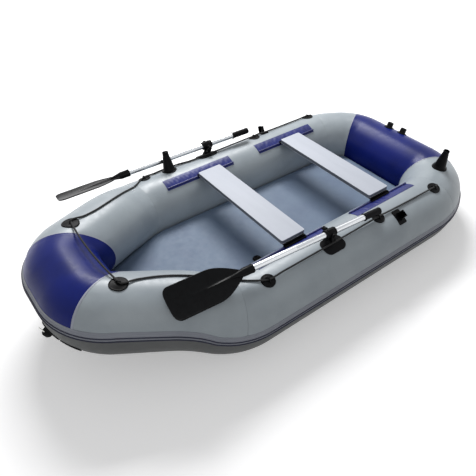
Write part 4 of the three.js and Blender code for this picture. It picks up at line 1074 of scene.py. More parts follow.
def pad(spot: Spot, outline: Array, height: float, profile: Pairs) -> Grid:
    """Flexible pad on the tube: an outline with a moulded edge, closed toward its middle.

    Args:
        spot: Where it lies.
        outline: Its outline along and round the tube.
        height: Height above the skin that the profile shares out.
        profile: Pairs of inset and share of the height, from the outer foot to the inner face.

    Returns:
        Closed grid.
    """
    rows = [raised(outline, distance, height * share) for distance, share in profile]
    inner = rows[-1]
    middle = inner.mean(axis=0)
    rows += [middle + (inner - middle) * share for share in np.linspace(1, 0, PAD_RINGS + 1)[1:-1]]
    under = rows[0] * np.array([1, 1, 0]) - np.array([0, 0, PAD_SINK])
    under_middle = under.mean(axis=0)
    below = [under_middle + (under - under_middle) * share for share in (0.3, 0.7, 1.0)]
    points = spot.wrap(np.stack(below + rows))
    tips = spot.wrap(np.stack([under_middle, middle]))
    return Grid(points, tips=(tips[0], tips[1]))


@dataclass
class Tube:
    """Hull tube: eight welded panels with their seam tapes."""

    hull: HullPath
    around: int = 84
    spacing: float = 9 * MM
    skin_depth: float = 4 * MM
    lap_width: float = 17 * MM
    lap_height: float = 0.8 * MM
    tape_half: float = 3 * MM
    tape_height: float = 0.9 * MM

    def panel(self, start: Callable[[Array], Array], end: Callable[[Array], Array], lap: float) -> Grid:
        """Panel between two seams, closed through its inner face.

        Distances are shared out evenly between the seams at each angle. The edges stand up by the
        lap, which fades over its width.

        Args:
            start: Distance of the first seam at each angle.
            end: Distance of the last seam at each angle.
            lap: Height of the welded lap at the edges.

        Returns:
            Grid that is a closed ring both ways.
        """
        angle = np.linspace(0, 360, self.around, endpoint=False)
        first, last = start(angle), end(angle)
        span = float(np.max(last - first))
        outer_shares = np.linspace(0, 1, int(span / self.spacing) + 2)
        inner_shares = np.linspace(1, 0, int(span / self.spacing / 3) + 3)
        s_outer = first + (last - first) * outer_shares[:, None]
        s_inner = first + (last - first) * inner_shares[:, None]
        edge = np.minimum(s_outer - first, last - s_outer)
        lift = lap * np.clip((self.lap_width - edge) / (4 * MM), 0, 1)
        outer = self.hull.skin(s_outer, angle, lift)
        inner = self.hull.skin(s_inner, angle, -self.skin_depth)
        return Grid(np.concatenate([outer, inner]), closed_rows=True)

    def tape(self, seam: Callable[[Array], Array]) -> Grid:
        """Narrow tape over a seam: a low rounded band right round the tube.

        Args:
            seam: Distance of the seam at each angle.

        Returns:
            Grid that is a closed ring both ways.
        """
        angle = np.linspace(0, 360, 2 * self.around, endpoint=False)
        across = np.array([-1, -0.8, 0, 0.8, 1, 0.5, -0.5]) * self.tape_half
        height = np.array([0, 0.9, 1, 0.9, 0, -1.5, -1.5]) * self.tape_height
        s = seam(angle)[:, None] + across
        return Grid(self.hull.skin(s, angle[:, None], self.lap_height + height), closed_rows=True)

    def build(self) -> None:
        """Builds the navy stern and bow, the grey corners, sides and quarters, and the tapes."""
        hull = self.hull
        gap = 0.4 * MM
        at = [lambda angle, s=s: np.full_like(angle, s) for s in hull.middles[:3]]
        stern = self.panel(lambda a: -at[0](a) + gap, lambda a: at[0](a) - gap, self.lap_height)
        add_piece("stern_panel", [stern], NAVY_PVC, "hull", ["stern_tube"])
        bow = self.panel(
            lambda a: hull.bow_seam(a) + gap,
            lambda a: 2 * hull.length - hull.bow_seam(a) - gap,
            self.lap_height,
        )
        add_piece("bow_panel", [bow], NAVY_PVC, "hull", ["bow_tube"])
        runs = {
            "stern_corner": (lambda a: at[0](a) + gap, lambda a: at[1](a) - gap),
            "side": (lambda a: at[1](a) + gap, lambda a: at[2](a) - gap),
            "bow_quarter": (lambda a: at[2](a) + gap, lambda a: hull.bow_seam(a) - gap),
        }
        for side in Side:
            for run, (start, end) in runs.items():
                grid = self.panel(start, end, 0.3 * self.lap_height)
                name = f"{side.value}_{run}"
                add_piece(f"{name}_panel", [grid], GREY_PVC, "hull", [f"{name}_tube"], side)
            tapes = [self.tape(at[0]), self.tape(hull.bow_seam)]
            add_piece(f"{side.value}_seam_tapes", tapes, TAPE_PVC, "hull", (), side)


@dataclass
class Strake:
    """Rubbing strake round the hull: a flange, two raised beads and the upper tape."""

    hull: HullPath
    centre_angles: tuple[float, ...] = (178.5, 178.5, 177, 171.5, 167)
    bed: float = 0.8 * MM
    top: float = 14 * MM
    bottom: float = 22 * MM
    band: float = 3 * MM
    piping_height: float = 7.2 * MM
    piping_half: float = 2.6 * MM
    piping_pitch: float = 15 * MM
    tape_width: float = 12 * MM
    wear_low_angle: float = 252.0
    count: int = 640

    def centre_angle(self, s: Array) -> Array:
        """Angle of the upper bead: constant in each bend, sliding to the next one between.

        Args:
            s: Distances along the line.

        Returns:
            Angles in degrees.
        """
        hull = self.hull
        angles = np.array(self.centre_angles)
        between = np.append((angles[:-1] + angles[1:]) / 2, angles[-1])
        knots = np.stack([hull.starts, hull.ends], axis=1).ravel()
        values = np.stack([angles, between], axis=1).ravel()
        reach = np.abs(np.mod(s + hull.length, 2 * hull.length) - hull.length)
        near = np.linspace(-0.06, 0.06, 9)[:, None]
        return np.interp(reach[None] + near, knots, values).mean(axis=0)

    def loop(self, profile: Array) -> Grid:
        """Profile of distance below the upper bead and height, carried right round the hull.

        Args:
            profile: Pairs of distance below the upper bead and height.

        Returns:
            Grid that is a closed ring both ways.
        """
        s = self.hull.all_round(self.count)
        angle = self.centre_angle(s)[:, None] + np.degrees(profile[:, 0] / self.hull.radius)[None, :]
        skin = self.hull.skin(s[:, None], angle, self.bed + profile[:, 1], plain=True)
        return Grid(skin, closed_rows=True)

    def bead(self, middle: float) -> Grid:
        """One raised bead, half round on the flange.

        Args:
            middle: Distance of its middle below the upper bead.

        Returns:
            Grid of the bead.
        """
        turn = np.linspace(0, math.pi, 9)
        rise = self.band * 0.8 + (self.piping_height - self.band * 0.8) * np.sin(turn)
        arc = np.column_stack([middle - self.piping_half * np.cos(turn), rise])
        return self.loop(arc)

    def build(self) -> None:
        """Builds the flange, the beads, the upper tape, the wear band and their finishes."""
        top, bottom, band = self.top, self.bottom, self.band
        flange = [
            [-top, -0.6 * MM], [-top, 1.2 * MM], [-top + 4 * MM, band], [0, band], [self.piping_pitch, band],
            [bottom - 4 * MM, band], [bottom, 1.2 * MM], [bottom, -0.6 * MM],
        ]
        strip = self.loop(soften(flange, 2 * MM, 2, closed=True))
        add_piece("strake_flange", [strip], STRAKE_VINYL, "hull", ["rub_strake"])
        add_piece("strake_beads", [self.bead(0.0), self.bead(self.piping_pitch)], PIPING_VINYL, "hull")
        low, high = -top + 0.5 * MM, -top - self.tape_width
        tape = np.array([[low, -0.8 * MM], [low, 0.5 * MM], [high, 0.3 * MM], [high, -0.8 * MM]])
        add_piece("strake_upper_tape", [self.loop(tape)], STRAKE_VINYL, "hull")
        self.build_wear_band()

    def build_wear_band(self) -> None:
        """Builds the bottom fabric's upstand, from the flange down to the bottom panel's edge."""
        s = self.hull.all_round(self.count)
        top = self.centre_angle(s) + math.degrees((self.bottom + 0.3 * MM) / self.hull.radius)
        share = np.linspace(0, 1, 16)
        angle = top[:, None] + (self.wear_low_angle - top)[:, None] * share
        outer = self.hull.skin(s[:, None], angle, 1.8 * MM, plain=True)
        inner = self.hull.skin(s[:, None], angle, -0.5 * MM, plain=True)[:, ::-1]
        grid = Grid(np.concatenate([outer, inner], axis=1), closed_rows=True)
        add_piece("wear_band", [grid], BOTTOM_PVC, "hull", ["bottom_wear_band"])


@dataclass
class Bottom:
    """Bottom panel under the tubes, and the air floor inside them."""

    hull: HullPath
    edge_angle: float = 252.2
    thickness: float = 1.8 * MM
    floor_top: float = 153 * MM
    floor_front: float = 950 * MM
    floor_edge: float = 26 * MM
    floor_tuck: float = 86 * MM
    floor_gap: float = 1.2 * MM
    wave_depth: float = 0.45 * MM
    wave_sag: float = 0.6 * MM
    wave_fade: float = 0.12
    calm_share: float = 0.4
    count: int = 420

    def ring(self, angle: float, offset: float) -> Array:
        """Points right round the hull at one angle and height."""
        s = self.hull.all_round(self.count)
        return self.hull.skin(s, np.full_like(s, angle), offset, plain=True)

    def filled(self, rim: Array, shares: Array) -> Array:
        """Rings from a rim in to a short slit on the centreline."""
        slit = rim * np.array([0.82, 0.0, 1.0])
        return rim[None] + (slit - rim)[None] * shares[:, None, None]

    def build_bottom(self) -> None:
        """Builds the bottom panel: turned up round the tubes and flat between them."""
        turn_up = np.linspace(self.edge_angle, 270, 6)
        shares = np.linspace(0, 1, 9)[1:]
        outer = np.stack([self.ring(a, self.thickness) for a in turn_up])
        outer = np.concatenate([outer, self.filled(outer[-1], shares)])[::-1]
        inner = np.stack([self.ring(a, 0.2 * MM) for a in turn_up])
        inner = np.concatenate([inner, self.filled(inner[-1], shares)])
        grid = Grid(np.concatenate([outer, inner]), cap=Cap.NONE, weld=True)
        add_piece("bottom_skin", [grid], BOTTOM_PVC, "hull", ["bottom_panel"])

    def build_floor(self) -> None:
        """Builds the air floor.

        Its sides follow the tube at a small gap up to its top, where the edge rolls over. The top is
        crowned a little, and shallow waves die out toward the edge and toward the slit on the centreline.
        """
        hull = self.hull
        s = hull.all_round(self.count)
        centre, _, inboard, _ = hull.sample(s)
        low = np.minimum(centre[:, 2] - hull.radius + 2 * MM, self.floor_top - 22 * MM)
        rows = []

        def level(z: Array, back: float) -> Array:
            """Ring at the given heights, where the tube's inner side is, moved inboard.

            Args:
                z: Heights round the hull.
                back: Distance inboard.

            Returns:
                Ring of points.
            """
            rise = np.clip((z - centre[:, 2]) / hull.radius, -1, 1)
            reach = np.maximum(hull.radius * np.sqrt(1 - rise**2), self.floor_tuck) + self.floor_gap + back
            ring = centre + inboard * reach[:, None]
            ring[:, 2] = z
            ring[:, 0] = np.minimum(ring[:, 0], self.floor_front - back)
            return ring

        shoulder = self.floor_top - self.floor_edge
        for share in (0, 0.25, 0.5, 0.75):
            rows.append(level(low + (np.maximum(shoulder, low) - low) * share, 2 * MM))
        for turn in np.linspace(0, math.pi / 2, 7):
            drop = self.floor_edge * (1 - math.sin(turn))
            back = self.floor_edge * (1 - math.cos(turn))
            rows.append(level(np.maximum(self.floor_top - drop, low), back))
        rim = rows[-1]
        shares = np.linspace(0, 1, 30)[1:]
        top = self.filled(rim, shares)
        fade = np.clip(np.linalg.norm(top - rim[None], axis=2) / self.wave_fade, 0, 1)
        x, y = top[..., 0], top[..., 1]
        waves = np.sin(9 * x + 4 * y) + np.sin(5 * x - 11 * y + 1.3) + 0.6 * np.sin(17 * x + 2)
        calm = np.clip((1 - shares) / self.calm_share, 0, 1)[:, None]
        calm = calm * calm * (3 - 2 * calm)
        top[..., 2] += fade * (self.wave_depth * waves * calm - self.wave_sag)
        under = self.filled(rows[0], shares[4::5])[::-1]
        grid = Grid(np.concatenate([under, np.stack(rows), top]), cap=Cap.NONE, weld=True)
        add_piece("air_floor_mat", [grid], FLOOR_PVC, "hull", ["air_floor"])

    def build(self) -> None:
        """Builds the bottom and the floor."""
        self.build_bottom()
        self.build_floor()


# Seats


@dataclass
class Seats:
    """Two bench boards on clips that slide along beaded tracks."""

    hull: HullPath
    top: float = 367 * MM
    thickness: float = 22 * MM
    length: float = 725 * MM
    width: float = 148 * MM
    corner: float = 9 * MM
    edge: float = 2.5 * MM
    skin: float = 2.2 * MM
    centres: tuple[tuple[str, float], ...] = (("fore", 99 * MM), ("aft", -511 * MM))
    track_centres: tuple[tuple[str, float], ...] = (("fore", 143 * MM), ("aft", -503 * MM))
    track_length: float = 450 * MM
    track_low: float = 56.0
    track_high: float = 79.0
    track_lift: float = 2.3 * MM
    wrinkle: float = 0.9 * MM
    bead_angle: float = 60.0
    bead_radius: float = 5 * MM
    bead_place: tuple[float, float] = (375.2 * MM, 332.4 * MM)
    clip_length: float = 138 * MM
    clip_gap: float = 0.6 * MM
    clip_wall: float = 3.9 * MM
    clip_mouth: float = 75.0
    plate_width: float = 46 * MM
    plate_thickness: float = 3.5 * MM

    def board(self, centre: float) -> tuple[list[Grid], list[Grid]]:
        """Core, whose darker grey at the board's edge is painted shade on the side faces, and the pale skins
        above and below it.

        Args:
            centre: X of its middle.

        Returns:
            The core's grids and the skins' grids.
        """
        place = WORLD.moved(centre, 0, self.top - self.thickness)
        outline = box_outline(self.width, self.length, self.corner, 6)
        low, high = self.skin, self.thickness - self.skin
        core = extruded(inset(outline, 0.4 * MM), low, high, 0.3 * MM).placed(place)
        upper = extruded(outline, high, self.thickness, 1.1 * MM, 4).placed(place)
        lower = extruded(outline, 0, low, 1.0 * MM, 3).placed(place)
        return [core], [upper, lower]

    def track(self, centre: float) -> tuple[Grid, Grid]:
        """Wrinkled flap on the tube, and the bead along its inboard part.

        The flap's height is a sum of slanted waves, strongest between its welded edges.

        Args:
            centre: X of its middle.

        Returns:
            The flap and the bead.
        """
        rows, columns = 120, 22
        x = np.linspace(-self.track_length / 2, self.track_length / 2, rows)
        share = np.linspace(0, 1, columns)
        angle = self.track_low + (self.track_high - self.track_low) * share
        along = x[:, None]
        s = self.hull.at_x(centre) + along
        y = (angle - self.track_low) * math.radians(1) * self.hull.radius
        waves = np.sin(150 * along + 90 * y) * np.sin(40 * along - 1.0)
        waves = waves + np.sin(260 * along - 60 * y + 1) * 0.5
        hold = np.sin(np.pi * share)
        ends = np.clip((self.track_length / 2 - np.abs(x)) / (20 * MM), 0, 1)[:, None]
        lift = self.track_lift - 1.1 * MM + self.wrinkle * (waves + 0.6) * hold * ends
        upper = self.hull.skin(s, angle, lift, plain=True)
        lower = self.hull.skin(s, angle, -0.6 * MM, plain=True)[:, ::-1]
        flap = Grid(np.concatenate([upper, lower], axis=1))
        line = np.column_stack([x + centre, np.tile(self.bead_place, (rows, 1))])
        radius = self.bead_radius * (1 + 0.05 * np.sin(210 * x) * np.sin(37 * x))
        section = round_outline(1.0, 20)[None] * radius[:, None, None]
        return flap, swept(line, section, WORLD.z)

    def clip(self, centre: float) -> list[Grid]:
        """Hook round the bead, neck and plate, each drawn across the boat and carried along it.

        Args:
            centre: X of its middle.

        Returns:
            Grids of the hook, the plate and the neck.
        """
        y, z = self.bead_place
        toward = -math.radians(self.bead_angle)
        mouth = math.radians(self.clip_mouth)
        turn = np.linspace(toward + mouth, toward + 2 * math.pi - mouth, 26)
        inner = self.bead_radius + self.clip_gap
        outer = inner + self.clip_wall
        arc = np.stack([np.cos(turn), np.sin(turn)], axis=1)
        hook = np.concatenate([arc * outer, arc[::-1] * inner]) + np.array([y, z])
        under = self.top - self.thickness - 0.3 * MM
        middle = y + outer / 2 - self.plate_width / 2
        plate = box_outline(self.plate_width, self.plate_thickness, 1.2 * MM, 3)
        plate = plate + np.array([middle, under - self.plate_thickness / 2])
        neck = box_outline(outer, under - z - inner, 0.6 * MM, 2) + np.array([y, (under + z + inner) / 2])
        along = replace(LENGTHWISE, origin=np.array([centre, 0, 0]))
        half = self.clip_length / 2
        return [extruded(part, -half, half, 0.7 * MM, 2).placed(along) for part in (hook, plate, neck)]

    def build(self) -> None:
        """Builds both benches with their clips and tracks."""
        for end, centre in self.centres:
            core, skins = self.board(centre)
            add_piece(f"{end}_bench_skins", skins, SEAT_ENAMEL, f"{end}_seat", [f"{end}_seat_board"])
            # The core shows at the board's edge in a darker grey, as painted shade on its side faces.
            add_piece(f"{end}_bench_edge_shade", core, SEAT_EDGE_SHADE, f"{end}_seat")
            for side in Side:
                node = f"{side.value}_{end}_seat_clip"
                add_piece(f"{node}_moulding", self.clip(centre), BLACK_NYLON, f"{end}_seat", [node], side)
        for end, centre in self.track_centres:
            for side in Side:
                node = f"{side.value}_{end}_seat_track"
                flap, bead = self.track(centre)
                add_piece(f"{node}_flap", [flap], TRACK_PVC, "hull", [node], side)
                add_piece(f"{node}_bead", [bead], BEAD_PVC, "hull", (), side)


# Grab line


@dataclass(frozen=True)
class Eyelet:
    """Eyelet on the tube: its name, X along the hull, angle round the tube and turn."""

    side: Side
    name: str
    x: float
    angle: float
    turn: float = 0.0


@dataclass
class GrabLine:
    """Eyelets, and the line through them along its real route."""

    hull: HullPath
    pad_radius: float = 35 * MM
    bow_pad_radius: float = 40 * MM
    pad_height: float = 4.6 * MM
    eye_width: float = 34 * MM
    eye_height: float = 18.4 * MM
    eye_thickness: float = 7 * MM
    line_radius: float = 4.4 * MM
    line_height: float = 10.2 * MM
    rest_height: float = 4.9 * MM
    tail: float = 30 * MM
    eyelets: tuple[Eyelet, ...] = (
        Eyelet(Side.PORT, "bow", 971 * MM, 90, 65),
        Eyelet(Side.PORT, "fore", 376 * MM, 104, 4),
        Eyelet(Side.PORT, "aft", -353 * MM, 102, 0),
        Eyelet(Side.PORT, "end", -792 * MM, 106, 8),
        Eyelet(Side.STARBOARD, "bow", 974 * MM, 90, 65),
        Eyelet(Side.STARBOARD, "fore", 428 * MM, 111, 0),
        Eyelet(Side.STARBOARD, "aft", -345 * MM, 105, 0),
        Eyelet(Side.STARBOARD, "end", -790 * MM, 106, 8),
    )
    # X in millimetres and angle of the line where it lies on the tube between the bow and fore eyelets
    port_over_bow: tuple[tuple[float, float], ...] = (
        (905, 84), (850, 80), (790, 78), (730, 77), (680, 76), (640, 75), (600, 75), (550, 77),
        (490, 84), (430, 94),
    )
    starboard_over_bow: tuple[tuple[float, float], ...] = (
        (905, 85), (850, 82), (790, 81), (730, 81), (680, 82), (640, 83), (600, 86), (540, 93), (480, 103),
    )
    starboard_round_holder: tuple[tuple[float, float], ...] = (
        (360, 117), (310, 121.5), (275, 122.5), (240, 121.5), (190, 116), (120, 107),
    )

    def spot(self, eyelet: Eyelet, turned_too: bool = False) -> Spot:
        """Place of an eyelet."""
        return self.hull.spot(eyelet.x, eyelet.angle, eyelet.turn if turned_too else 0.0)

    def eyelet(self, eyelet: Eyelet) -> list[Grid]:
        """Round pad with a rolled rim and a low dome, and the bridge that the line goes through.

        Args:
            eyelet: Its place on the hull.

        Returns:
            Grids of the pad, the bridge and its two feet.
        """
        radius = self.bow_pad_radius if eyelet.name == "bow" else self.pad_radius
        profile = [
            (0, 0), (-0.2 * MM, 0.45), (1.2 * MM, 0.95), (3 * MM, 1.05), (5 * MM, 0.8), (7 * MM, 0.74),
            (radius * 0.45, 0.98), (radius * 0.6, 1.05),
        ]
        base = pad(self.spot(eyelet), round_outline(radius, 48), self.pad_height, profile)
        half = self.eye_width / 2 - 3.2 * MM
        turn = np.linspace(0, math.pi, 25)
        rise = self.eye_height - 2.2 * MM
        height = 1.5 * MM + (rise - 1.5 * MM) * np.sin(turn) ** 0.8
        arch = np.stack([0 * turn, half * np.cos(turn), height], axis=1)
        start, end = arch[:1] - [0, 0, 2 * MM], arch[-1:] - [0, 0, 2 * MM]
        arch = np.concatenate([start, arch, end])
        at = self.spot(eyelet, turned_too=True).frame()
        section = box_outline(4.4 * MM, self.eye_thickness, 1.6 * MM, 3)
        bridge = swept(at.carry(arch), section, at.x)
        collar = [[0, 0], [6.5 * MM, 0], [6.5 * MM, 5.2 * MM], [4.5 * MM, 6.6 * MM], [0, 6.6 * MM]]
        foot_at = half + 3 * MM - 3.5 * MM
        feet = [turned(soften(collar, 1 * MM), 24).placed(at.moved(0, y, 0)) for y in (-foot_at, foot_at)]
        return [base, bridge, *feet]

    def in_eye(self, eyelet: Eyelet) -> Array:
        """Centre of the line where it passes an eyelet, in port coordinates."""
        return self.spot(eyelet).frame().carry(np.array([0, 0, self.line_height]))

    def on_tube(self, pairs: Pairs) -> Array:
        """Centre of the line where it lies on the tube, in port coordinates."""
        s = np.array([self.hull.at_x(x * MM) for x, _ in pairs])
        return self.hull.skin(s, np.array([angle for _, angle in pairs]), self.rest_height, plain=True)

    def span(self, first: Array, last: Array, count: int = 9) -> Array:
        """Line between two eyelets: straight, eased down toward the tube at its middle.

        Args:
            first: Start of the line.
            last: End of the line.
            count: Points, with both ends.

        Returns:
            Points between the two ends.
        """
        share = np.linspace(0, 1, count)[1:-1, None]
        points = first + (last - first) * share
        points[:, 2] -= 4 * 3.2 * MM * (share * (1 - share))[:, 0]
        return points

    def route(self) -> Array:
        """Points of the line from its port tail over the bow to its starboard tail.

        Returns:
            Points in the boat's frame, shape (n, 3).
        """
        halves = []
        for side, over, holder in (
            (Side.PORT, self.port_over_bow, ()),
            (Side.STARBOARD, self.starboard_over_bow, self.starboard_round_holder),
        ):
            bow, fore, aft, end = (self.in_eye(e) for e in self.eyelets if e.side is side)
            ends = [e for e in self.eyelets if e.side is side][-1]
            tail_s = np.array([self.hull.at_x(ends.x - self.tail)])
            tail = self.hull.skin(tail_s, ends.angle, self.rest_height + 1.5 * MM, plain=True)
            parts = [bow[None], self.on_tube(over), fore[None]]
            parts.append(self.on_tube(holder) if holder else self.span(fore, aft))
            parts += [aft[None], self.span(aft, end, 7), end[None], tail]
            half = np.concatenate(parts)
            halves.append(half if side is Side.PORT else half * np.array([1, -1, 1]))
        return np.concatenate([halves[0][::-1], halves[1]])

    def smooth(self, points: Array, spacing: float = 5 * MM) -> Array:
        """Even points on the Catmull-Rom curve through the route, eased by a short average.

        Args:
            points: Points of the route.
            spacing: Distance between the even points.

        Returns:
            Even points, shape (m, 3).
        """
        padded = np.concatenate([2 * points[:1] - points[1:2], points, 2 * points[-1:] - points[-2:-1]])
        p0, p1, p2, p3 = padded[:-3], padded[1:-2], padded[2:-1], padded[3:]
        t = np.linspace(0, 1, 24, endpoint=False)[None, :, None]
        before, here, after = np.linalg.norm(np.diff([p0, p1, p2, p3], axis=0), axis=2)[..., None, None]
        m1 = (p2 - p0)[:, None] * here / (here + before)
        m2 = (p3 - p1)[:, None] * here / (after + here)
        curve = (
            (2 * t**3 - 3 * t**2 + 1) * p1[:, None] + (t**3 - 2 * t**2 + t) * m1
            + (-2 * t**3 + 3 * t**2) * p2[:, None] + (t**3 - t**2) * m2
        ).reshape(-1, 3)
        curve = np.concatenate([curve, points[-1:]])
        reach = np.concatenate([[0], np.cumsum(np.linalg.norm(np.diff(curve, axis=0), axis=1))])
        even = np.linspace(0, reach[-1], int(reach[-1] / spacing))
        return np.stack([np.interp(even, reach, curve[:, k]) for k in range(3)], axis=1)

    def build(self) -> None:
        """Builds the eyelets and the line."""
        for eyelet in self.eyelets:
            node = f"{eyelet.side.value}_{eyelet.name}_eyelet"
            add_piece(f"{node}_moulding", self.eyelet(eyelet), BLACK_NYLON, "hull", [node], eyelet.side)
        line = self.smooth(self.route())
        grid = swept(line, round_outline(self.line_radius, 12), WORLD.z)
        rope = add_piece("grab_line_rope", [grid], ROPE, "hull", ["grab_line"])


# Oars and their locks


@dataclass(frozen=True)
class OarPlace:
    """Where an oar lies: its lock in port coordinates, heading, and distances along the shaft."""

    side: Side
    lock: tuple[float, float, float]
    along: tuple[float, float, float]
    lock_at: float
    blade_tilt: float
    pad_x: float
    pad_angle: float

    def shaft(self) -> Frame:
        """Frame at the lock whose X runs down the shaft to the blade.

        Returns:
            Frame in port coordinates.
        """
        x = unit(np.array(self.along))
        y = unit(np.cross(WORLD.z, x))
        return Frame(np.array(self.lock) * MM, x, y, np.cross(x, y))

    def upright(self) -> Frame:
        """Upright frame at the lock, its X along the oar's heading."""
        shaft = self.shaft()
        return Frame(shaft.origin, np.cross(shaft.y, WORLD.z), shaft.y, WORLD.z)


OAR_PLACES = (
    OarPlace(Side.PORT, (-20, 481, 402), (1, -0.045, 0.037), 338 * MM, 26, -25 * MM, 104),
    OarPlace(Side.STARBOARD, (-8, 543, 395), (1, 0.089, -0.045), 290 * MM, 21, 6 * MM, 111),
)


@dataclass
class Oarlock:
    """Rubber socket pad, nylon yoke and the ring that clamps the oar."""

    hull: HullPath
    pad_length: float = 130 * MM
    pad_width: float = 90 * MM
    pad_corner: float = 34 * MM
    pad_height: float = 6 * MM
    boss_radius: float = 17 * MM
    plinth_radius: float = 23 * MM
    yoke_radius: float = 19 * MM
    yoke_plate: float = 6 * MM
    yoke_gap: float = 3 * MM
    arm_thickness: float = 8 * MM
    arm_width: float = 26 * MM
    arm_gap: float = 2.5 * MM
    ring_radius: float = 23 * MM
    ring_length: float = 62 * MM
    bore: float = 15.7 * MM
    trunnion: float = 5 * MM
    head_radius: float = 8.5 * MM
    head_length: float = 5 * MM
    knob_radius: float = 11 * MM
    knob_length: float = 14 * MM

    def socket(self, place: OarPlace) -> list[Grid]:
        """Pad with a rolled rim, and the boss that rises from it through a flared foot.

        Args:
            place: Where the oar lies.

        Returns:
            Grids of the pad and the boss.
        """
        spot = self.hull.spot(place.pad_x, place.pad_angle)
        profile = [(0, 0), (0, 0.4), (1.5 * MM, 0.72), (5 * MM, 0.78), (9 * MM, 0.7), (18 * MM, 0.9)]
        outline = box_outline(self.pad_length, self.pad_width, self.pad_corner, 9)
        base = pad(spot, outline, self.pad_height, profile)
        upright = place.upright()
        top = -(self.ring_radius + self.yoke_gap + self.yoke_plate) - 0.3 * MM
        ground = self.plinth_height(spot, upright)
        foot, boss = self.plinth_radius, self.boss_radius
        flare = [
            [0, ground - 8 * MM], [foot + 5 * MM, ground - 8 * MM], [foot + 4 * MM, ground + 3 * MM],
            [foot - 1 * MM, ground + 6 * MM], [boss + 0.5 * MM, top - 7 * MM], [boss, top - 2 * MM],
            [boss - 1.2 * MM, top], [boss - 6 * MM, top], [0, top],
        ]
        return [base, turned(soften(flare, 2 * MM, 3), 44).placed(upright)]

    def plinth_height(self, spot: Spot, upright: Frame) -> float:
        """Height of the skin under the lock, in the lock's upright frame.

        Args:
            spot: Place of the pad.
            upright: The lock's upright frame.

        Returns:
            Height in metres.
        """
        angles = np.linspace(60, 140, 200)
        skin = self.hull.skin(np.full_like(angles, spot.s), angles, 0.0, plain=True)
        return float(np.interp(upright.origin[1], skin[:, 1], skin[:, 2]) - upright.origin[2])

    def yoke(self) -> list[Grid]:
        """Plate, cross bar, rib and two arms with round heads, in the lock's upright frame.

        Returns:
            Grids of the plate, the bar, the rib and the arms.
        """
        base = -(self.ring_radius + self.yoke_gap + self.yoke_plate)
        top = base + self.yoke_plate
        inner = self.ring_radius + self.arm_gap
        outer = inner + self.arm_thickness
        plate = soften(disc(self.yoke_radius, base, top), 1.2 * MM)
        bar = extruded(box_outline(self.arm_width, 2 * outer, 4 * MM, 4), base, top, 1.2 * MM)
        rib = extruded(box_outline(6 * MM, 2 * inner, 1 * MM, 3), base + 1 * MM, top + 1.6 * MM, 0.8 * MM)
        turn = np.linspace(0, math.pi, 17)
        half = self.arm_width / 2
        head = half * np.stack([np.cos(turn), np.sin(turn)], axis=1)
        flat = half - 3 * MM
        foot = np.array([[-half, base + 3 * MM], [-flat, base], [flat, base], [half, base + 3 * MM]])
        outline = np.concatenate([foot, head])
        ends = ((inner, outer), (-outer, -inner))
        arms = [extruded(outline, low, high, 1.6 * MM).placed(SIDEWAYS) for low, high in ends]
        return [turned(plate, 40), bar, rib, *arms]

    def ring(self) -> tuple[list[Grid], list[Grid]]:
        """Barrel with end collars and a split clamp, and its trunnions with knob and head.

        Returns:
            The barrel's grids with its ears, and the grids of the pins, knob and head.
        """
        half = self.ring_length / 2
        r = self.ring_radius
        collar, waist = r - 0.6 * MM, r - 2.2 * MM
        profile = [
            [self.bore, -half], [r - 3 * MM, -half], [collar, -half + 2 * MM], [collar, -half + 8 * MM],
            [waist, -half + 10 * MM], [waist, -15 * MM], [r, -13 * MM], [r, 13 * MM], [waist, 15 * MM],
            [waist, half - 10 * MM], [collar, half - 8 * MM], [collar, half - 2 * MM], [r - 3 * MM, half],
            [self.bore, half],
        ]
        closed = np.concatenate([soften(profile, 1.2 * MM, 2), [profile[0]]])
        barrel = turned(closed, 44).placed(LENGTHWISE)
        clear = r + self.arm_gap + self.arm_thickness + 0.4 * MM
        lug = extruded(box_outline(34 * MM, 12 * MM, 2 * MM, 3), -4 * MM, 4 * MM, 1 * MM)
        ears = [lug.placed(WORLD.moved(0, 0, z)) for z in (-r + 1 * MM, r - 2.4 * MM)]
        pin = turned(disc(self.trunnion, -clear - 2 * MM, -r + 4 * MM), 24)
        pin_far = turned(disc(self.trunnion, r - 4 * MM, clear + 2 * MM), 24)
        knob, end = self.knob_radius, clear + self.knob_length
        lobes = [
            [0, clear], [knob, clear], [knob, end], [knob * 0.45, end], [knob * 0.4, end - 2 * MM],
            [0, end - 2 * MM],
        ]
        grip = turned(soften(lobes, 1.8 * MM, 3), 60, lambda turn: 0.93 + 0.07 * np.cos(5 * turn))
        head = turned(soften(disc(self.head_radius, -clear, -clear - self.head_length), 1.2 * MM), 36)
        return [barrel, *ears], [part.placed(SIDEWAYS) for part in (pin, pin_far, grip, head)]

    def build(self) -> None:
        """Builds the lock on each side."""
        for place in OAR_PLACES:
            side, name = place.side, place.side.value
            socket = self.socket(place)
            add_piece(f"{name}_lock_pad", socket, BLACK_RUBBER, "hull", [f"{name}_oarlock_socket"], side)
            yoke = [part.placed(place.upright()) for part in self.yoke()]
            add_piece(f"{name}_lock_yoke", yoke, BLACK_NYLON, f"{name}_lock", [f"{name}_oarlock_yoke"], side)
            barrel, pins = self.ring()
            ring = [part.placed(place.shaft()) for part in barrel + pins]
            add_piece(f"{name}_lock_ring", ring, BLACK_NYLON, f"{name}_oar", [f"{name}_oarlock_ring"], side)


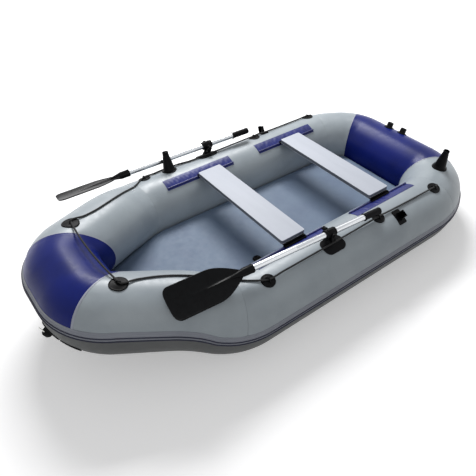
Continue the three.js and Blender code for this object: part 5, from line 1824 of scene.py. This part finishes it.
@dataclass
class Oar:
    """Two-piece aluminium oar with a rubber grip and a moulded blade.

    Distances run along the shaft from the end of the grip.
    """

    length: float = 1200 * MM
    grip_length: float = 112 * MM
    grip_radius: float = 17.5 * MM
    grip_flange: float = 2.2 * MM
    shaft_radius: float = 15 * MM
    shaft_wall: float = 1.8 * MM
    joint_at: float = 544 * MM
    spigot: float = 12.8 * MM
    spigot_length: float = 62 * MM
    button_radius: float = 4 * MM
    button_inset: float = 26 * MM
    button_proud: float = 1.6 * MM
    socket_at: float = 788 * MM
    socket_radius: float = 19.9 * MM
    socket_depth: float = 50 * MM
    blade_root: float = 850 * MM
    blade_half: float = 78 * MM
    blade_corner: float = 34 * MM
    blade_thickness: float = 4.5 * MM
    blade_dish: float = 7 * MM
    blade_rim: float = 0.9 * MM
    rib_height: float = 9 * MM
    rib_half: float = 5.5 * MM
    rib_end: float = 0.76
    shoulder: float = 0.42
    root_share: float = 0.26

    def lathe(self, profile: Sequence[Sequence[float]], place: OarPlace) -> Grid:
        """Profile of radius and distance down the shaft, turned on it."""
        points = np.asarray(profile, float) - np.array([0, place.lock_at])
        return turned(points, 48).placed(LENGTHWISE).placed(place.shaft())

    def grip(self, place: OarPlace) -> Grid:
        """Grip with rounded end, a rim at its lower end and ribs for the fingers.

        Args:
            place: Where the oar lies.

        Returns:
            Closed grid on the shaft.
        """
        r, rim, end = self.grip_radius, self.grip_radius + self.grip_flange, self.grip_length
        x = np.linspace(14 * MM, end - 12 * MM, 90)
        ribs = r - 0.5 * MM * np.clip(np.sin(2 * math.pi * x / (9 * MM)), -0.2, 0.6)
        body = np.column_stack([ribs, x])
        start = soften([[0, 0], [r - 2 * MM, 0], [r + 0.3 * MM, 3 * MM], [r + 0.3 * MM, 10 * MM]], 2 * MM, 3)
        bore = 15.4 * MM
        tail = [[r, end - 8 * MM], [rim, end - 5 * MM], [rim, end - 0.5 * MM], [bore, end]]
        profile = np.concatenate([start, body, soften(tail, 1 * MM, 3), [[bore, 8 * MM], [0, 8 * MM]]])
        return self.lathe(profile, place)

    def upper_shaft(self, place: OarPlace) -> Grid:
        """Upper tube with its spigot, hollow all through.

        Args:
            place: Where the oar lies.

        Returns:
            Closed grid on the shaft.
        """
        r, joint, spigot, start = self.shaft_radius, self.joint_at, self.spigot, 9 * MM
        inner, end = spigot - 1.6 * MM, joint + self.spigot_length
        profile = [
            [r, start], [r, joint - 0.6 * MM], [r - 0.6 * MM, joint], [spigot, joint], [spigot, end],
            [inner, end], [inner, start], [r, start],
        ]
        return self.lathe(profile, place)

    def lower_shaft(self, place: OarPlace) -> Grid:
        """Lower tube, from the joint into the blade's socket.

        Args:
            place: Where the oar lies.

        Returns:
            Closed grid on the shaft.
        """
        r, start = self.shaft_radius, self.joint_at + 0.5 * MM
        inner, end = r - self.shaft_wall, self.socket_at + self.socket_depth - 1 * MM
        lip = [r - 0.6 * MM, start]
        profile = [lip, [r, start + 0.6 * MM], [r, end], [inner, end], [inner, start], lip]
        return self.lathe(profile, place)

    def button(self, place: OarPlace) -> Grid:
        """Domed locking button on a flange, standing out of the lower tube.

        Args:
            place: Where the oar lies.

        Returns:
            Closed grid on the shaft.
        """
        r, top = self.button_radius, self.shaft_radius + self.button_proud
        dome = np.linspace(0, math.pi / 2, 7)
        arc = np.column_stack([r * np.cos(dome), top - self.button_proud * 1.4 * (1 - np.sin(dome))])
        arc[-1, 0] = 0
        foot = 9.4 * MM
        flange, under = r + 1.8 * MM, foot - 1.5 * MM
        profile = np.concatenate([[[0, under], [flange, under], [flange, foot], [r, foot]], arc])
        at = place.shaft().moved(self.joint_at + self.button_inset - place.lock_at)
        return turned(profile, 28).placed(at)

    def blade_half_at(self, share: Array) -> Array:
        """Half width: a quarter sine from root to shoulder, then straight to round corners.

        Args:
            share: Distances from the blade's root, as shares of its length.

        Returns:
            Half widths in metres.
        """
        spread = np.clip(share / self.shoulder, 0, 1)
        width = self.blade_half * (self.root_share + (1 - self.root_share) * np.sin(spread * math.pi / 2))
        from_tip = (self.length - self.blade_root) * (1 - share)
        cut = np.clip(self.blade_corner - from_tip, 0, self.blade_corner)
        return width - self.blade_corner + np.sqrt(self.blade_corner**2 - cut**2)

    def blade(self, place: OarPlace) -> list[Grid]:
        """Dished blade with a ridge on both faces that fades out, and the cone it grows from.

        Across the blade the dish is a parabola and the ridge a narrow bell. The outer edge is rounded.

        Args:
            place: Where the oar lies.

        Returns:
            Grids of the sheet, and of the socket with its cone.
        """
        span = self.length - self.blade_root
        toward_tip = 1 - 0.12 * np.cos(np.linspace(0, math.pi / 2, 22))[1:]
        share = np.concatenate([np.linspace(0, 0.88, 52), toward_tip])
        share[-1] = 0.9995
        half = self.blade_half_at(share)[:, None]
        across = np.sin(np.linspace(-math.pi / 2, math.pi / 2, 41))
        left = np.clip(1 - share / self.rib_end, 0, 1)[:, None]
        y = across * half
        dish = self.blade_dish * (1 - across**2) * np.sin(share * math.pi / 2)[:, None]
        ridge = self.rib_height * left * np.exp(-((y / self.rib_half) ** 2))
        inward = (1 - np.abs(across)) * half
        from_edge = np.clip(inward / (3 * MM), 0, 1)
        thick = self.blade_thickness / 2 * np.sqrt(np.clip(1 - (1 - from_edge) ** 2, 0.05, 1))
        rim = self.blade_rim * np.exp(-((inward - 4 * MM) / (2.2 * MM)) ** 2)
        rim = rim * np.clip(share / 0.1, 0, 1)[:, None]
        x = np.broadcast_to((self.blade_root + share * span - place.lock_at)[:, None], y.shape)
        upper = np.stack([x, y, thick - dish + ridge + rim], axis=-1)
        lower = np.stack([x, y, -thick - dish - ridge - rim], axis=-1)[:, ::-1]
        sheet = Grid(np.concatenate([upper, lower], axis=1), cap=Cap.POLYGON)
        cone_end = self.blade_root + 0.2 * span
        reach = np.linspace(0, 1, 14)
        low, top, wide = self.socket_at, self.socket_at + self.socket_depth, self.socket_radius
        cone = np.column_stack([wide + (4.5 * MM - wide) * reach**0.85, top + (cone_end - top) * reach])
        bore = self.shaft_radius + 0.5 * MM
        mouth = [
            [0, top - 1 * MM], [bore, top - 1 * MM], [bore, low], [wide + 1 * MM, low],
            [wide + 1 * MM, low + 6 * MM], [wide, low + 7.5 * MM],
        ]
        socket = np.concatenate([mouth, cone, [[0, cone_end + 4 * MM]]]) - np.array([0, place.lock_at])
        tilted = place.shaft().rolled(-place.blade_tilt)
        return [sheet.placed(tilted), turned(socket, 48).placed(LENGTHWISE).placed(tilted)]

    def build(self) -> None:
        """Builds the oar on each side."""
        for place in OAR_PLACES:
            name, body = place.side.value, f"{place.side.value}_oar"
            for piece, node, grids, finish, mover in (
                ("grip_sleeve", "grip", [self.grip(place)], BLACK_RUBBER, body),
                ("upper_tube", "upper_shaft", [self.upper_shaft(place)], OAR_ALUMINIUM, body),
                ("lower_tube", "lower_shaft", [self.lower_shaft(place)], OAR_ALUMINIUM, body),
                ("locking_button", "button", [self.button(place)], STEEL, f"{name}_button"),
                ("blade_moulding", "blade", self.blade(place), BLADE_NYLON, body),
            ):
                add_piece(f"{name}_{piece}", grids, finish, mover, [f"{body}_{node}"], place.side)


# Fittings on the tube


# Side of the boat, X (across the stern, the distance along the line) and angle round the tube
SidePlaces = tuple[tuple[Side, float, float], ...]


@dataclass
class Fittings:
    """Rod holders, oar clips, motor sockets, towing ring, wear patch and valves."""

    hull: HullPath
    holder_spots: SidePlaces = ((Side.PORT, -982 * MM, 96), (Side.STARBOARD, 275 * MM, 105))
    holder_height: float = 112 * MM
    holder_foot: float = 43 * MM
    holder_foot_height: float = 5 * MM
    holder_skirt: float = 36 * MM
    holder_waist: float = 28.5 * MM
    holder_waist_share: float = 0.34
    holder_mouth: float = 17.5 * MM
    holder_bore: float = 13.5 * MM
    holder_depth: float = 88 * MM
    holder_screws: float = 39.8 * MM
    clip_spots: SidePlaces = ((Side.PORT, -465 * MM, 119), (Side.STARBOARD, -430 * MM, 114))
    clip_length: float = 54 * MM
    clip_around: float = 82 * MM
    clip_foot_height: float = 4.4 * MM
    prong_height: float = 44 * MM
    prong_width: float = 20 * MM
    prong: float = 6 * MM
    prong_gap: float = 27 * MM
    prong_neck: float = 22 * MM
    clip_seat: float = 11 * MM
    prong_throat_share: float = 0.7
    motor_spots: SidePlaces = ((Side.PORT, 7 * MM, 113), (Side.STARBOARD, -89 * MM, 109))
    motor_foot: float = 31 * MM
    motor_foot_height: float = 4.2 * MM
    motor_block: tuple[float, float, float] = (36 * MM, 26 * MM, 34 * MM)
    motor_slot: tuple[float, float, float] = (18 * MM, 10 * MM, 24 * MM)
    tow_share: float = 0.9
    tow_angle: float = 201.0
    tow_turn: float = 90.0
    tow_lift: float = 3.4 * MM
    tow_foot_height: float = 3.6 * MM
    tow_foot: tuple[float, float] = (58 * MM, 76 * MM)
    tow_bridge: tuple[float, float, float] = (26 * MM, 44 * MM, 34 * MM)
    tow_wire: float = 2.6 * MM
    tow_lean: float = 12.0
    tow_half: float = 20 * MM
    tow_reach: float = 48 * MM
    tow_bar: float = 19 * MM
    patch_share: float = 0.55
    patch_angle: float = 205.0
    patch_size: tuple[float, float] = (56 * MM, 40 * MM)
    patch_height: float = 6.2 * MM
    valve_flange: float = 24 * MM
    valve_bore: float = 11 * MM
    valve_cap: float = 19 * MM
    floor_valve: tuple[float, float, float] = (200 * MM, 215 * MM, 153.3 * MM)
    hull_valve_x: float = -620 * MM
    hull_valve_angle: float = 37.5

    def rod_holder(self, x: float, angle: float) -> list[Grid]:
        """Foot with a rolled rim, tapering hollow cone with a collar at its mouth, and foot screws.

        Args:
            x: X of its middle.
            angle: Angle round the tube.

        Returns:
            Grids of the foot, the cone and the screws.
        """
        spot = self.hull.spot(x, angle)
        h = self.holder_foot_height
        profile = [(0, 0), (0, 0.5), (1.4 * MM, 0.92), (3.5 * MM, 1), (6 * MM, 0.86), (9 * MM, 1.05)]
        foot = pad(spot, round_outline(self.holder_foot, 52), h, profile)
        top, skirt, mouth, bore = self.holder_height, self.holder_skirt, self.holder_mouth, self.holder_bore
        outer = [
            [0, -6 * MM], [skirt, -6 * MM], [skirt, 7 * MM], [skirt - 3 * MM, 10 * MM],
            [self.holder_waist, top * self.holder_waist_share], [mouth - 0.6 * MM, top - 13 * MM],
            [mouth, top - 11 * MM], [mouth, top - 1.2 * MM], [mouth - 1.2 * MM, top], [bore + 1 * MM, top],
            [bore, top - 1.2 * MM], [bore, top - self.holder_depth], [0, top - self.holder_depth],
        ]
        cone = turned(soften(outer, 2.4 * MM, 3), 48).placed(spot.frame())
        at = spot.frame()
        cup = [[0, -2 * MM], [2.6 * MM, -2 * MM], [2.6 * MM, 1.1 * MM], [1.9 * MM, 1.8 * MM], [0, 1.9 * MM]]
        screws = []
        for turn in (45, 135, 225, 315):
            x, y = (self.holder_screws * f(math.radians(turn)) for f in (math.cos, math.sin))
            base = spot.wrap(np.array([[x, y, h * 0.9]]))[0]
            screws.append(turned(cup, 18).placed(replace(at, origin=base)))
        return [foot, cone, *screws]

    def oar_clip(self, x: float, angle: float) -> list[Grid]:
        """Rectangular foot and two springy prongs that narrow to a throat and flare again.

        Args:
            x: X of its middle.
            angle: Angle round the tube.

        Returns:
            Grids of the foot, the prongs and the gussets.
        """
        spot = self.hull.spot(x, angle)
        profile = [(0, 0), (0, 0.6), (1.2 * MM, 1), (4 * MM, 1), (6 * MM, 0.8), (8 * MM, 0.8)]
        outline = box_outline(self.clip_length, self.clip_around, 8 * MM, 6)
        foot = pad(spot, outline, self.clip_foot_height, profile)
        half, neck, t = self.prong_gap / 2, self.prong_neck / 2, self.prong
        top, seat = self.prong_height, self.clip_seat
        throat = seat + (top - seat) * self.prong_throat_share
        right = [
            [half + t, 0], [half + t, throat - half], [neck + t, throat], [half + t + 1 * MM, top - 1 * MM],
            [half + t - 3 * MM, top], [neck + 0.5 * MM, throat + 1 * MM], [half, throat - half],
            [half, seat + half / 2], [half / 2, seat],
        ]
        left = [[-y, z] for y, z in right[::-1]]
        outline = soften(np.array(right + left), 3 * MM, 3, closed=True)
        across = spot.frame().reordered("yzx")
        prongs = extruded(outline, -self.prong_width / 2, self.prong_width / 2, 1.2 * MM).placed(across)
        gussets = []
        near, far = half + t - 1 * MM, half + t + 7 * MM
        for sign in (1, -1):
            web = soften([[sign * near, 0], [sign * far, 0], [sign * near, 15 * MM]], 1 * MM, 2, closed=True)
            gussets.append(extruded(web, -2 * MM, 2 * MM, 0.6 * MM, 2).placed(across))
        return [foot, prongs, *gussets]

    def motor_socket(self, y: float, angle: float) -> list[Grid]:
        """Round foot and a block whose upright slot goes in from the top.

        Args:
            y: Distance along the line, across the stern.
            angle: Angle round the tube.

        Returns:
            Grids of the foot and the block.
        """
        spot = Spot(self.hull, y, angle)
        profile = [(0, 0), (0, 0.6), (1.2 * MM, 0.95), (4 * MM, 1), (7 * MM, 0.85)]
        foot = pad(spot, round_outline(self.motor_foot, 44), self.motor_foot_height, profile)
        width, depth, top = self.motor_block
        slot_width, slot_depth, reach = self.motor_slot
        outer = box_outline(width, depth, 7 * MM, 6)
        hole = box_outline(slot_width, slot_depth, 1.2 * MM, 6)
        steps = [
            (outer, -2.5, -2 * MM), (outer, -2.5, 3 * MM), (outer, -0.8, 5.5 * MM), (outer, 0, 9 * MM),
            (outer, 0, top - 6 * MM), (outer, 0.8, top - 2.6 * MM), (outer, 2.6, top - 0.6 * MM),
            (outer, 4.2, top), (hole, -1.2, top), (hole, 0, top - 1.2 * MM), (hole, 0, top - reach),
        ]
        rows = [raised(outline, inward * MM, z) for outline, inward, z in steps]
        return [foot, Grid(np.stack(rows), cap=Cap.POLYGON).placed(spot.frame())]

    def bow_spot(self, share: float, angle: float, turn: float = 0.0) -> Spot:
        """Place at a share of the bow bend."""
        start, end = self.hull.starts[4], self.hull.ends[4]
        return Spot(self.hull, float(start + share * (end - start)), angle, turn)

    def tow_parts(self) -> tuple[list[Grid], Grid]:
        """Oval foot with its bridge, and the wire ring that lies up from it.

        Returns:
            Grids of the foot and the bridge, and the ring.
        """
        spot = self.bow_spot(self.tow_share, self.tow_angle, self.tow_turn)
        around, length = self.tow_foot
        profile = [(0, 0), (0, 0.6), (1.6 * MM, 0.95), (5 * MM, 1), (9 * MM, 0.86), (15 * MM, 1)]
        outline = box_outline(around, length, around / 2, 10)
        foot = pad(spot, outline, self.tow_foot_height + self.tow_lift, profile)
        at = spot.frame()
        bridge_length, width, top = self.tow_bridge
        half = width / 2
        hump = [
            [-half - 3 * MM, 0], [half + 3 * MM, 0], [half, 8 * MM], [half, top * 0.6],
            [half - 14 * MM, top], [-half + 14 * MM, top], [-half, top * 0.6], [-half, 8 * MM],
        ]
        hump = soften(hump, 8 * MM, 4, closed=True)
        bridge = extruded(hump, -bridge_length / 2, bridge_length / 2, 4 * MM, 4).placed(at.reordered("yzx"))
        turn = np.linspace(0, math.pi, 31)
        straight = max(self.tow_reach - self.tow_half, 6 * MM)
        rise = straight + (self.tow_reach - straight) * np.sin(turn)
        arch = np.column_stack([self.tow_half * np.cos(turn), rise])
        bar = np.array([[-self.tow_half, 0.0], [self.tow_half, 0.0]])
        flat = soften(np.concatenate([bar, arch]), 5 * MM, 4, closed=True)
        ring = np.column_stack([flat, np.zeros(len(flat))])
        lie = at.moved(0, 0, self.tow_bar).rolled(180 - self.tow_lean)
        wire = swept(ring, round_outline(self.tow_wire, 16), WORLD.z, closed=True)
        return [foot, bridge], wire.placed(lie)

    def wear_patch(self) -> Grid:
        """Ribbed rubber patch on the forefoot.

        Returns:
            Closed grid.
        """
        spot = self.bow_spot(self.patch_share, self.patch_angle)
        length, around = self.patch_size
        profile = [(0, 0), (0, 0.8), (1.2 * MM, 1), (3 * MM, 1), (4 * MM, 0.88), (6 * MM, 0.88), (7 * MM, 1)]
        return pad(spot, box_outline(length, around, 12 * MM, 7), self.patch_height, profile)

    def valve(self, at: Frame) -> tuple[list[Grid], list[Grid]]:
        """Valve body with a flange and collar, and its knurled cap with a finger bar.

        Args:
            at: Frame on the surface that the valve sits in.

        Returns:
            Grids of the body, and of the cap.
        """
        flange, bore, cap = self.valve_flange, self.valve_bore, self.valve_cap
        body = [
            [bore, 4.6 * MM], [bore + 2.2 * MM, 4.6 * MM], [bore + 2.2 * MM, 2.4 * MM],
            [flange - 2 * MM, 2.4 * MM], [flange, 0.9 * MM], [flange, -0.6 * MM], [bore, -0.6 * MM],
            [bore, 4.6 * MM],
        ]
        low, top = 2.7 * MM, 9.7 * MM
        crown = [
            [0, low + 0.4 * MM], [cap, low], [cap, top - 1.6 * MM], [cap - 1.6 * MM, top],
            [cap - 4 * MM, top], [cap - 5 * MM, top - 0.9 * MM], [0, top - 0.9 * MM],
        ]
        crown = soften(crown, 0.8 * MM, 2)
        lid = turned(crown, 96, lambda turn: 1 + 0.018 * np.clip(np.sin(24 * turn) * 3, -1, 1))
        outline = box_outline(2 * (cap - 6 * MM), 5 * MM, 2 * MM, 4)
        bar = extruded(outline, top - 1.6 * MM, top - 0.1 * MM, 0.7 * MM, 2)
        ring = np.concatenate([soften(body[:-1], 0.6 * MM, 2), [body[0]]])
        return [turned(ring, 56).placed(at)], [lid.placed(at), bar.placed(at.spun(30))]

    def build(self) -> None:
        """Builds every fitting."""
        for side, x, angle in self.holder_spots:
            node = f"{side.value}_rod_holder"
            add_piece(f"{node}_moulding", self.rod_holder(x, angle), BLACK_NYLON, "hull", [node], side)
        for side, x, angle in self.clip_spots:
            node = f"{side.value}_oar_clip"
            add_piece(f"{node}_moulding", self.oar_clip(x, angle), BLACK_NYLON, "hull", [node], side)
        for side, y, angle in self.motor_spots:
            node = f"{side.value}_motor_socket"
            add_piece(f"{node}_moulding", self.motor_socket(y, angle), BLACK_NYLON, "hull", [node])
        foot, ring = self.tow_parts()
        add_piece("tow_foot_moulding", foot, BLACK_RUBBER, "hull", ["tow_ring_foot"])
        add_piece("tow_ring_wire", [ring], STEEL, "tow_ring", ["tow_ring"])
        add_piece("forefoot_patch", [self.wear_patch()], BLACK_RUBBER, "hull", ["bow_wear_patch"])
        floor_at = WORLD.moved(*self.floor_valve)
        spot = self.hull.spot(self.hull_valve_x, self.hull_valve_angle)
        for name, at in (("floor", floor_at), ("hull", spot.frame())):
            body, cap = self.valve(at)
            add_piece(f"{name}_valve_body", body, BLACK_NYLON, "hull", [f"{name}_valve"])
            add_piece(f"{name}_valve_lid", cap, BLACK_NYLON, f"{name}_cap", [f"{name}_valve_cap"])


# Stage


@dataclass(frozen=True)
class Lamp:
    """Soft lamp: its name, place, target, sides in metres and power in watts."""

    name: str
    place: tuple[float, float, float]
    sides: tuple[float, float]
    power: float
    target: tuple[float, float, float] = (0.0, 0.0, 0.2)


@dataclass
class Stage:
    """Pale floor, soft lamps and the camera at the photograph's place."""

    picture: float = 476.0
    focal: float = 496.67
    centre: tuple[float, float] = (238.5, 238.1)
    eye: tuple[float, float, float] = (1.397, 1.648, 1.9425)
    heading: float = 233.11
    pitch: float = 41.42
    roll: float = 0.07
    sensor: float = 36.0
    floor_half: float = 16.0
    floor_colour: str = "#f7f7f8"
    bounce: str = "#9a9a9c"
    floor_glow: float = 0.3
    glow_from: float = 1.6
    glow_to: float = 6.0
    world_light: float = 0.32
    lamps: tuple[Lamp, ...] = (
        Lamp("key", (-1.6, -3.4, 4.4), (3.0, 1.3), 300.0),
        Lamp("fill", (2.6, 3.6, 3.2), (3.0, 3.0), 30.0),
    )

    def build_floor(self) -> None:
        """Builds the pale floor that the boat lies on; it fades to white with distance."""
        mesh = bpy.data.meshes.new("studio_floor")
        h = self.floor_half
        mesh.from_pydata([(-h, -h, 0), (h, -h, 0), (h, h, 0), (-h, h, 0)], [], [(0, 1, 2, 3)])
        floor = bpy.data.objects.new("studio_floor", mesh)
        bpy.context.scene.collection.objects.link(floor)
        material = bpy.data.materials.new("white studio floor")
        material.use_nodes = True
        tree = material.node_tree
        shader = tree.nodes["Principled BSDF"]
        shader.inputs["Roughness"].default_value = 0.9
        shader.inputs["Specular IOR Level"].default_value = 0.1
        shader.inputs["Emission Color"].default_value = (1.0, 1.0, 1.0, 1.0)
        seen = seen_directly(tree)
        add_node(
            tree, "ValToRGB", seen, to=shader.inputs["Base Color"],
            stops=[(0.0, self.bounce), (1.0, self.floor_colour)],
        )
        here = add_node(tree, "TexCoord").outputs["Object"]
        distance = add_node(tree, "VectorMath", here, operation="LENGTH").outputs["Value"]
        far = add_node(
            tree, "MapRange", distance,
            From_Min=self.glow_from, From_Max=self.glow_to, To_Min=self.floor_glow, To_Max=1.0,
        ).outputs["Result"]
        add_node(tree, "Math", seen, far, to=shader.inputs["Emission Strength"], operation="MULTIPLY")
        mesh.materials.append(material)

    def lamp(self, lamp: Lamp) -> None:
        """Adds a rectangular soft lamp that faces its target.

        Args:
            lamp: Name, place, target, sides in metres and power in watts.
        """
        light = bpy.data.lights.new(lamp.name, "AREA")
        light.shape = "RECTANGLE"
        light.size, light.size_y = lamp.sides
        light.energy = lamp.power
        thing = bpy.data.objects.new(lamp.name, light)
        bpy.context.scene.collection.objects.link(thing)
        back = unit(np.array(lamp.place) - np.array(lamp.target))
        right = unit(np.cross(WORLD.z, back))
        self.pose(thing, np.array(lamp.place), right, np.cross(back, right), back)

    @staticmethod
    def pose(thing: bpy.types.Object, place: Array, right: Array, up: Array, back: Array) -> None:
        """Places an object whose local axes point right, up and backward.

        Args:
            thing: Object to place.
            place: Its origin.
            right: Direction of its X.
            up: Direction of its Y.
            back: Direction of its Z.
        """
        matrix = np.eye(4)
        matrix[:3, 0], matrix[:3, 1], matrix[:3, 2], matrix[:3, 3] = right, up, back, place
        thing.matrix_world = Matrix(matrix.tolist())

    def build_camera(self) -> None:
        """Builds the camera from the photograph's focal length and direction."""
        data = bpy.data.cameras.new("camera")
        data.sensor_width = self.sensor
        data.lens = self.focal / self.picture * self.sensor
        data.shift_x = -(self.centre[0] - self.picture / 2) / self.picture
        data.shift_y = (self.centre[1] - self.picture / 2) / self.picture
        camera = bpy.data.objects.new("camera", data)
        bpy.context.scene.collection.objects.link(camera)
        yaw, pitch, roll = (math.radians(v) for v in (self.heading, self.pitch, self.roll))
        level = math.cos(pitch)
        forward = np.array([math.cos(yaw) * level, math.sin(yaw) * level, -math.sin(pitch)])
        right = unit(np.cross(forward, WORLD.z))
        up = np.cross(right, forward)
        turned_right = math.cos(roll) * right + math.sin(roll) * up
        turned_up = math.cos(roll) * up - math.sin(roll) * right
        self.pose(camera, np.array(self.eye), turned_right, turned_up, -forward)
        bpy.context.scene.camera = camera

    def build_world(self) -> None:
        """Lights the scene evenly from all round; the world itself looks white, also in metal."""
        world = bpy.data.worlds.new("studio")
        bpy.context.scene.world = world
        world.use_nodes = True
        tree = world.node_tree
        background = tree.nodes["Background"]
        background.inputs["Color"].default_value = (1.0, 1.0, 1.0, 1.0)
        strength = background.inputs["Strength"]
        add_node(tree, "MapRange", seen_directly(tree), to=strength, To_Min=self.world_light, To_Max=1.0)

    def build(self) -> None:
        """Builds the floor, lamps, camera and world."""
        bpy.context.scene.view_settings.view_transform = "Standard"
        self.build_floor()
        self.build_world()
        for lamp in self.lamps:
            self.lamp(lamp)
        self.build_camera()


def main() -> None:
    """Builds the stage and every sub-assembly in order."""
    logging.basicConfig(level=logging.INFO, format="%(name)s: %(message)s")
    Stage().build()
    hull = HullPath()
    on_hull = [kind(hull) for kind in (Tube, Strake, Bottom, Seats, GrabLine, Oarlock)]
    for part in (*on_hull, Oar(), Fittings(hull)):
        part.build()


if __name__ == "__main__":
    main()
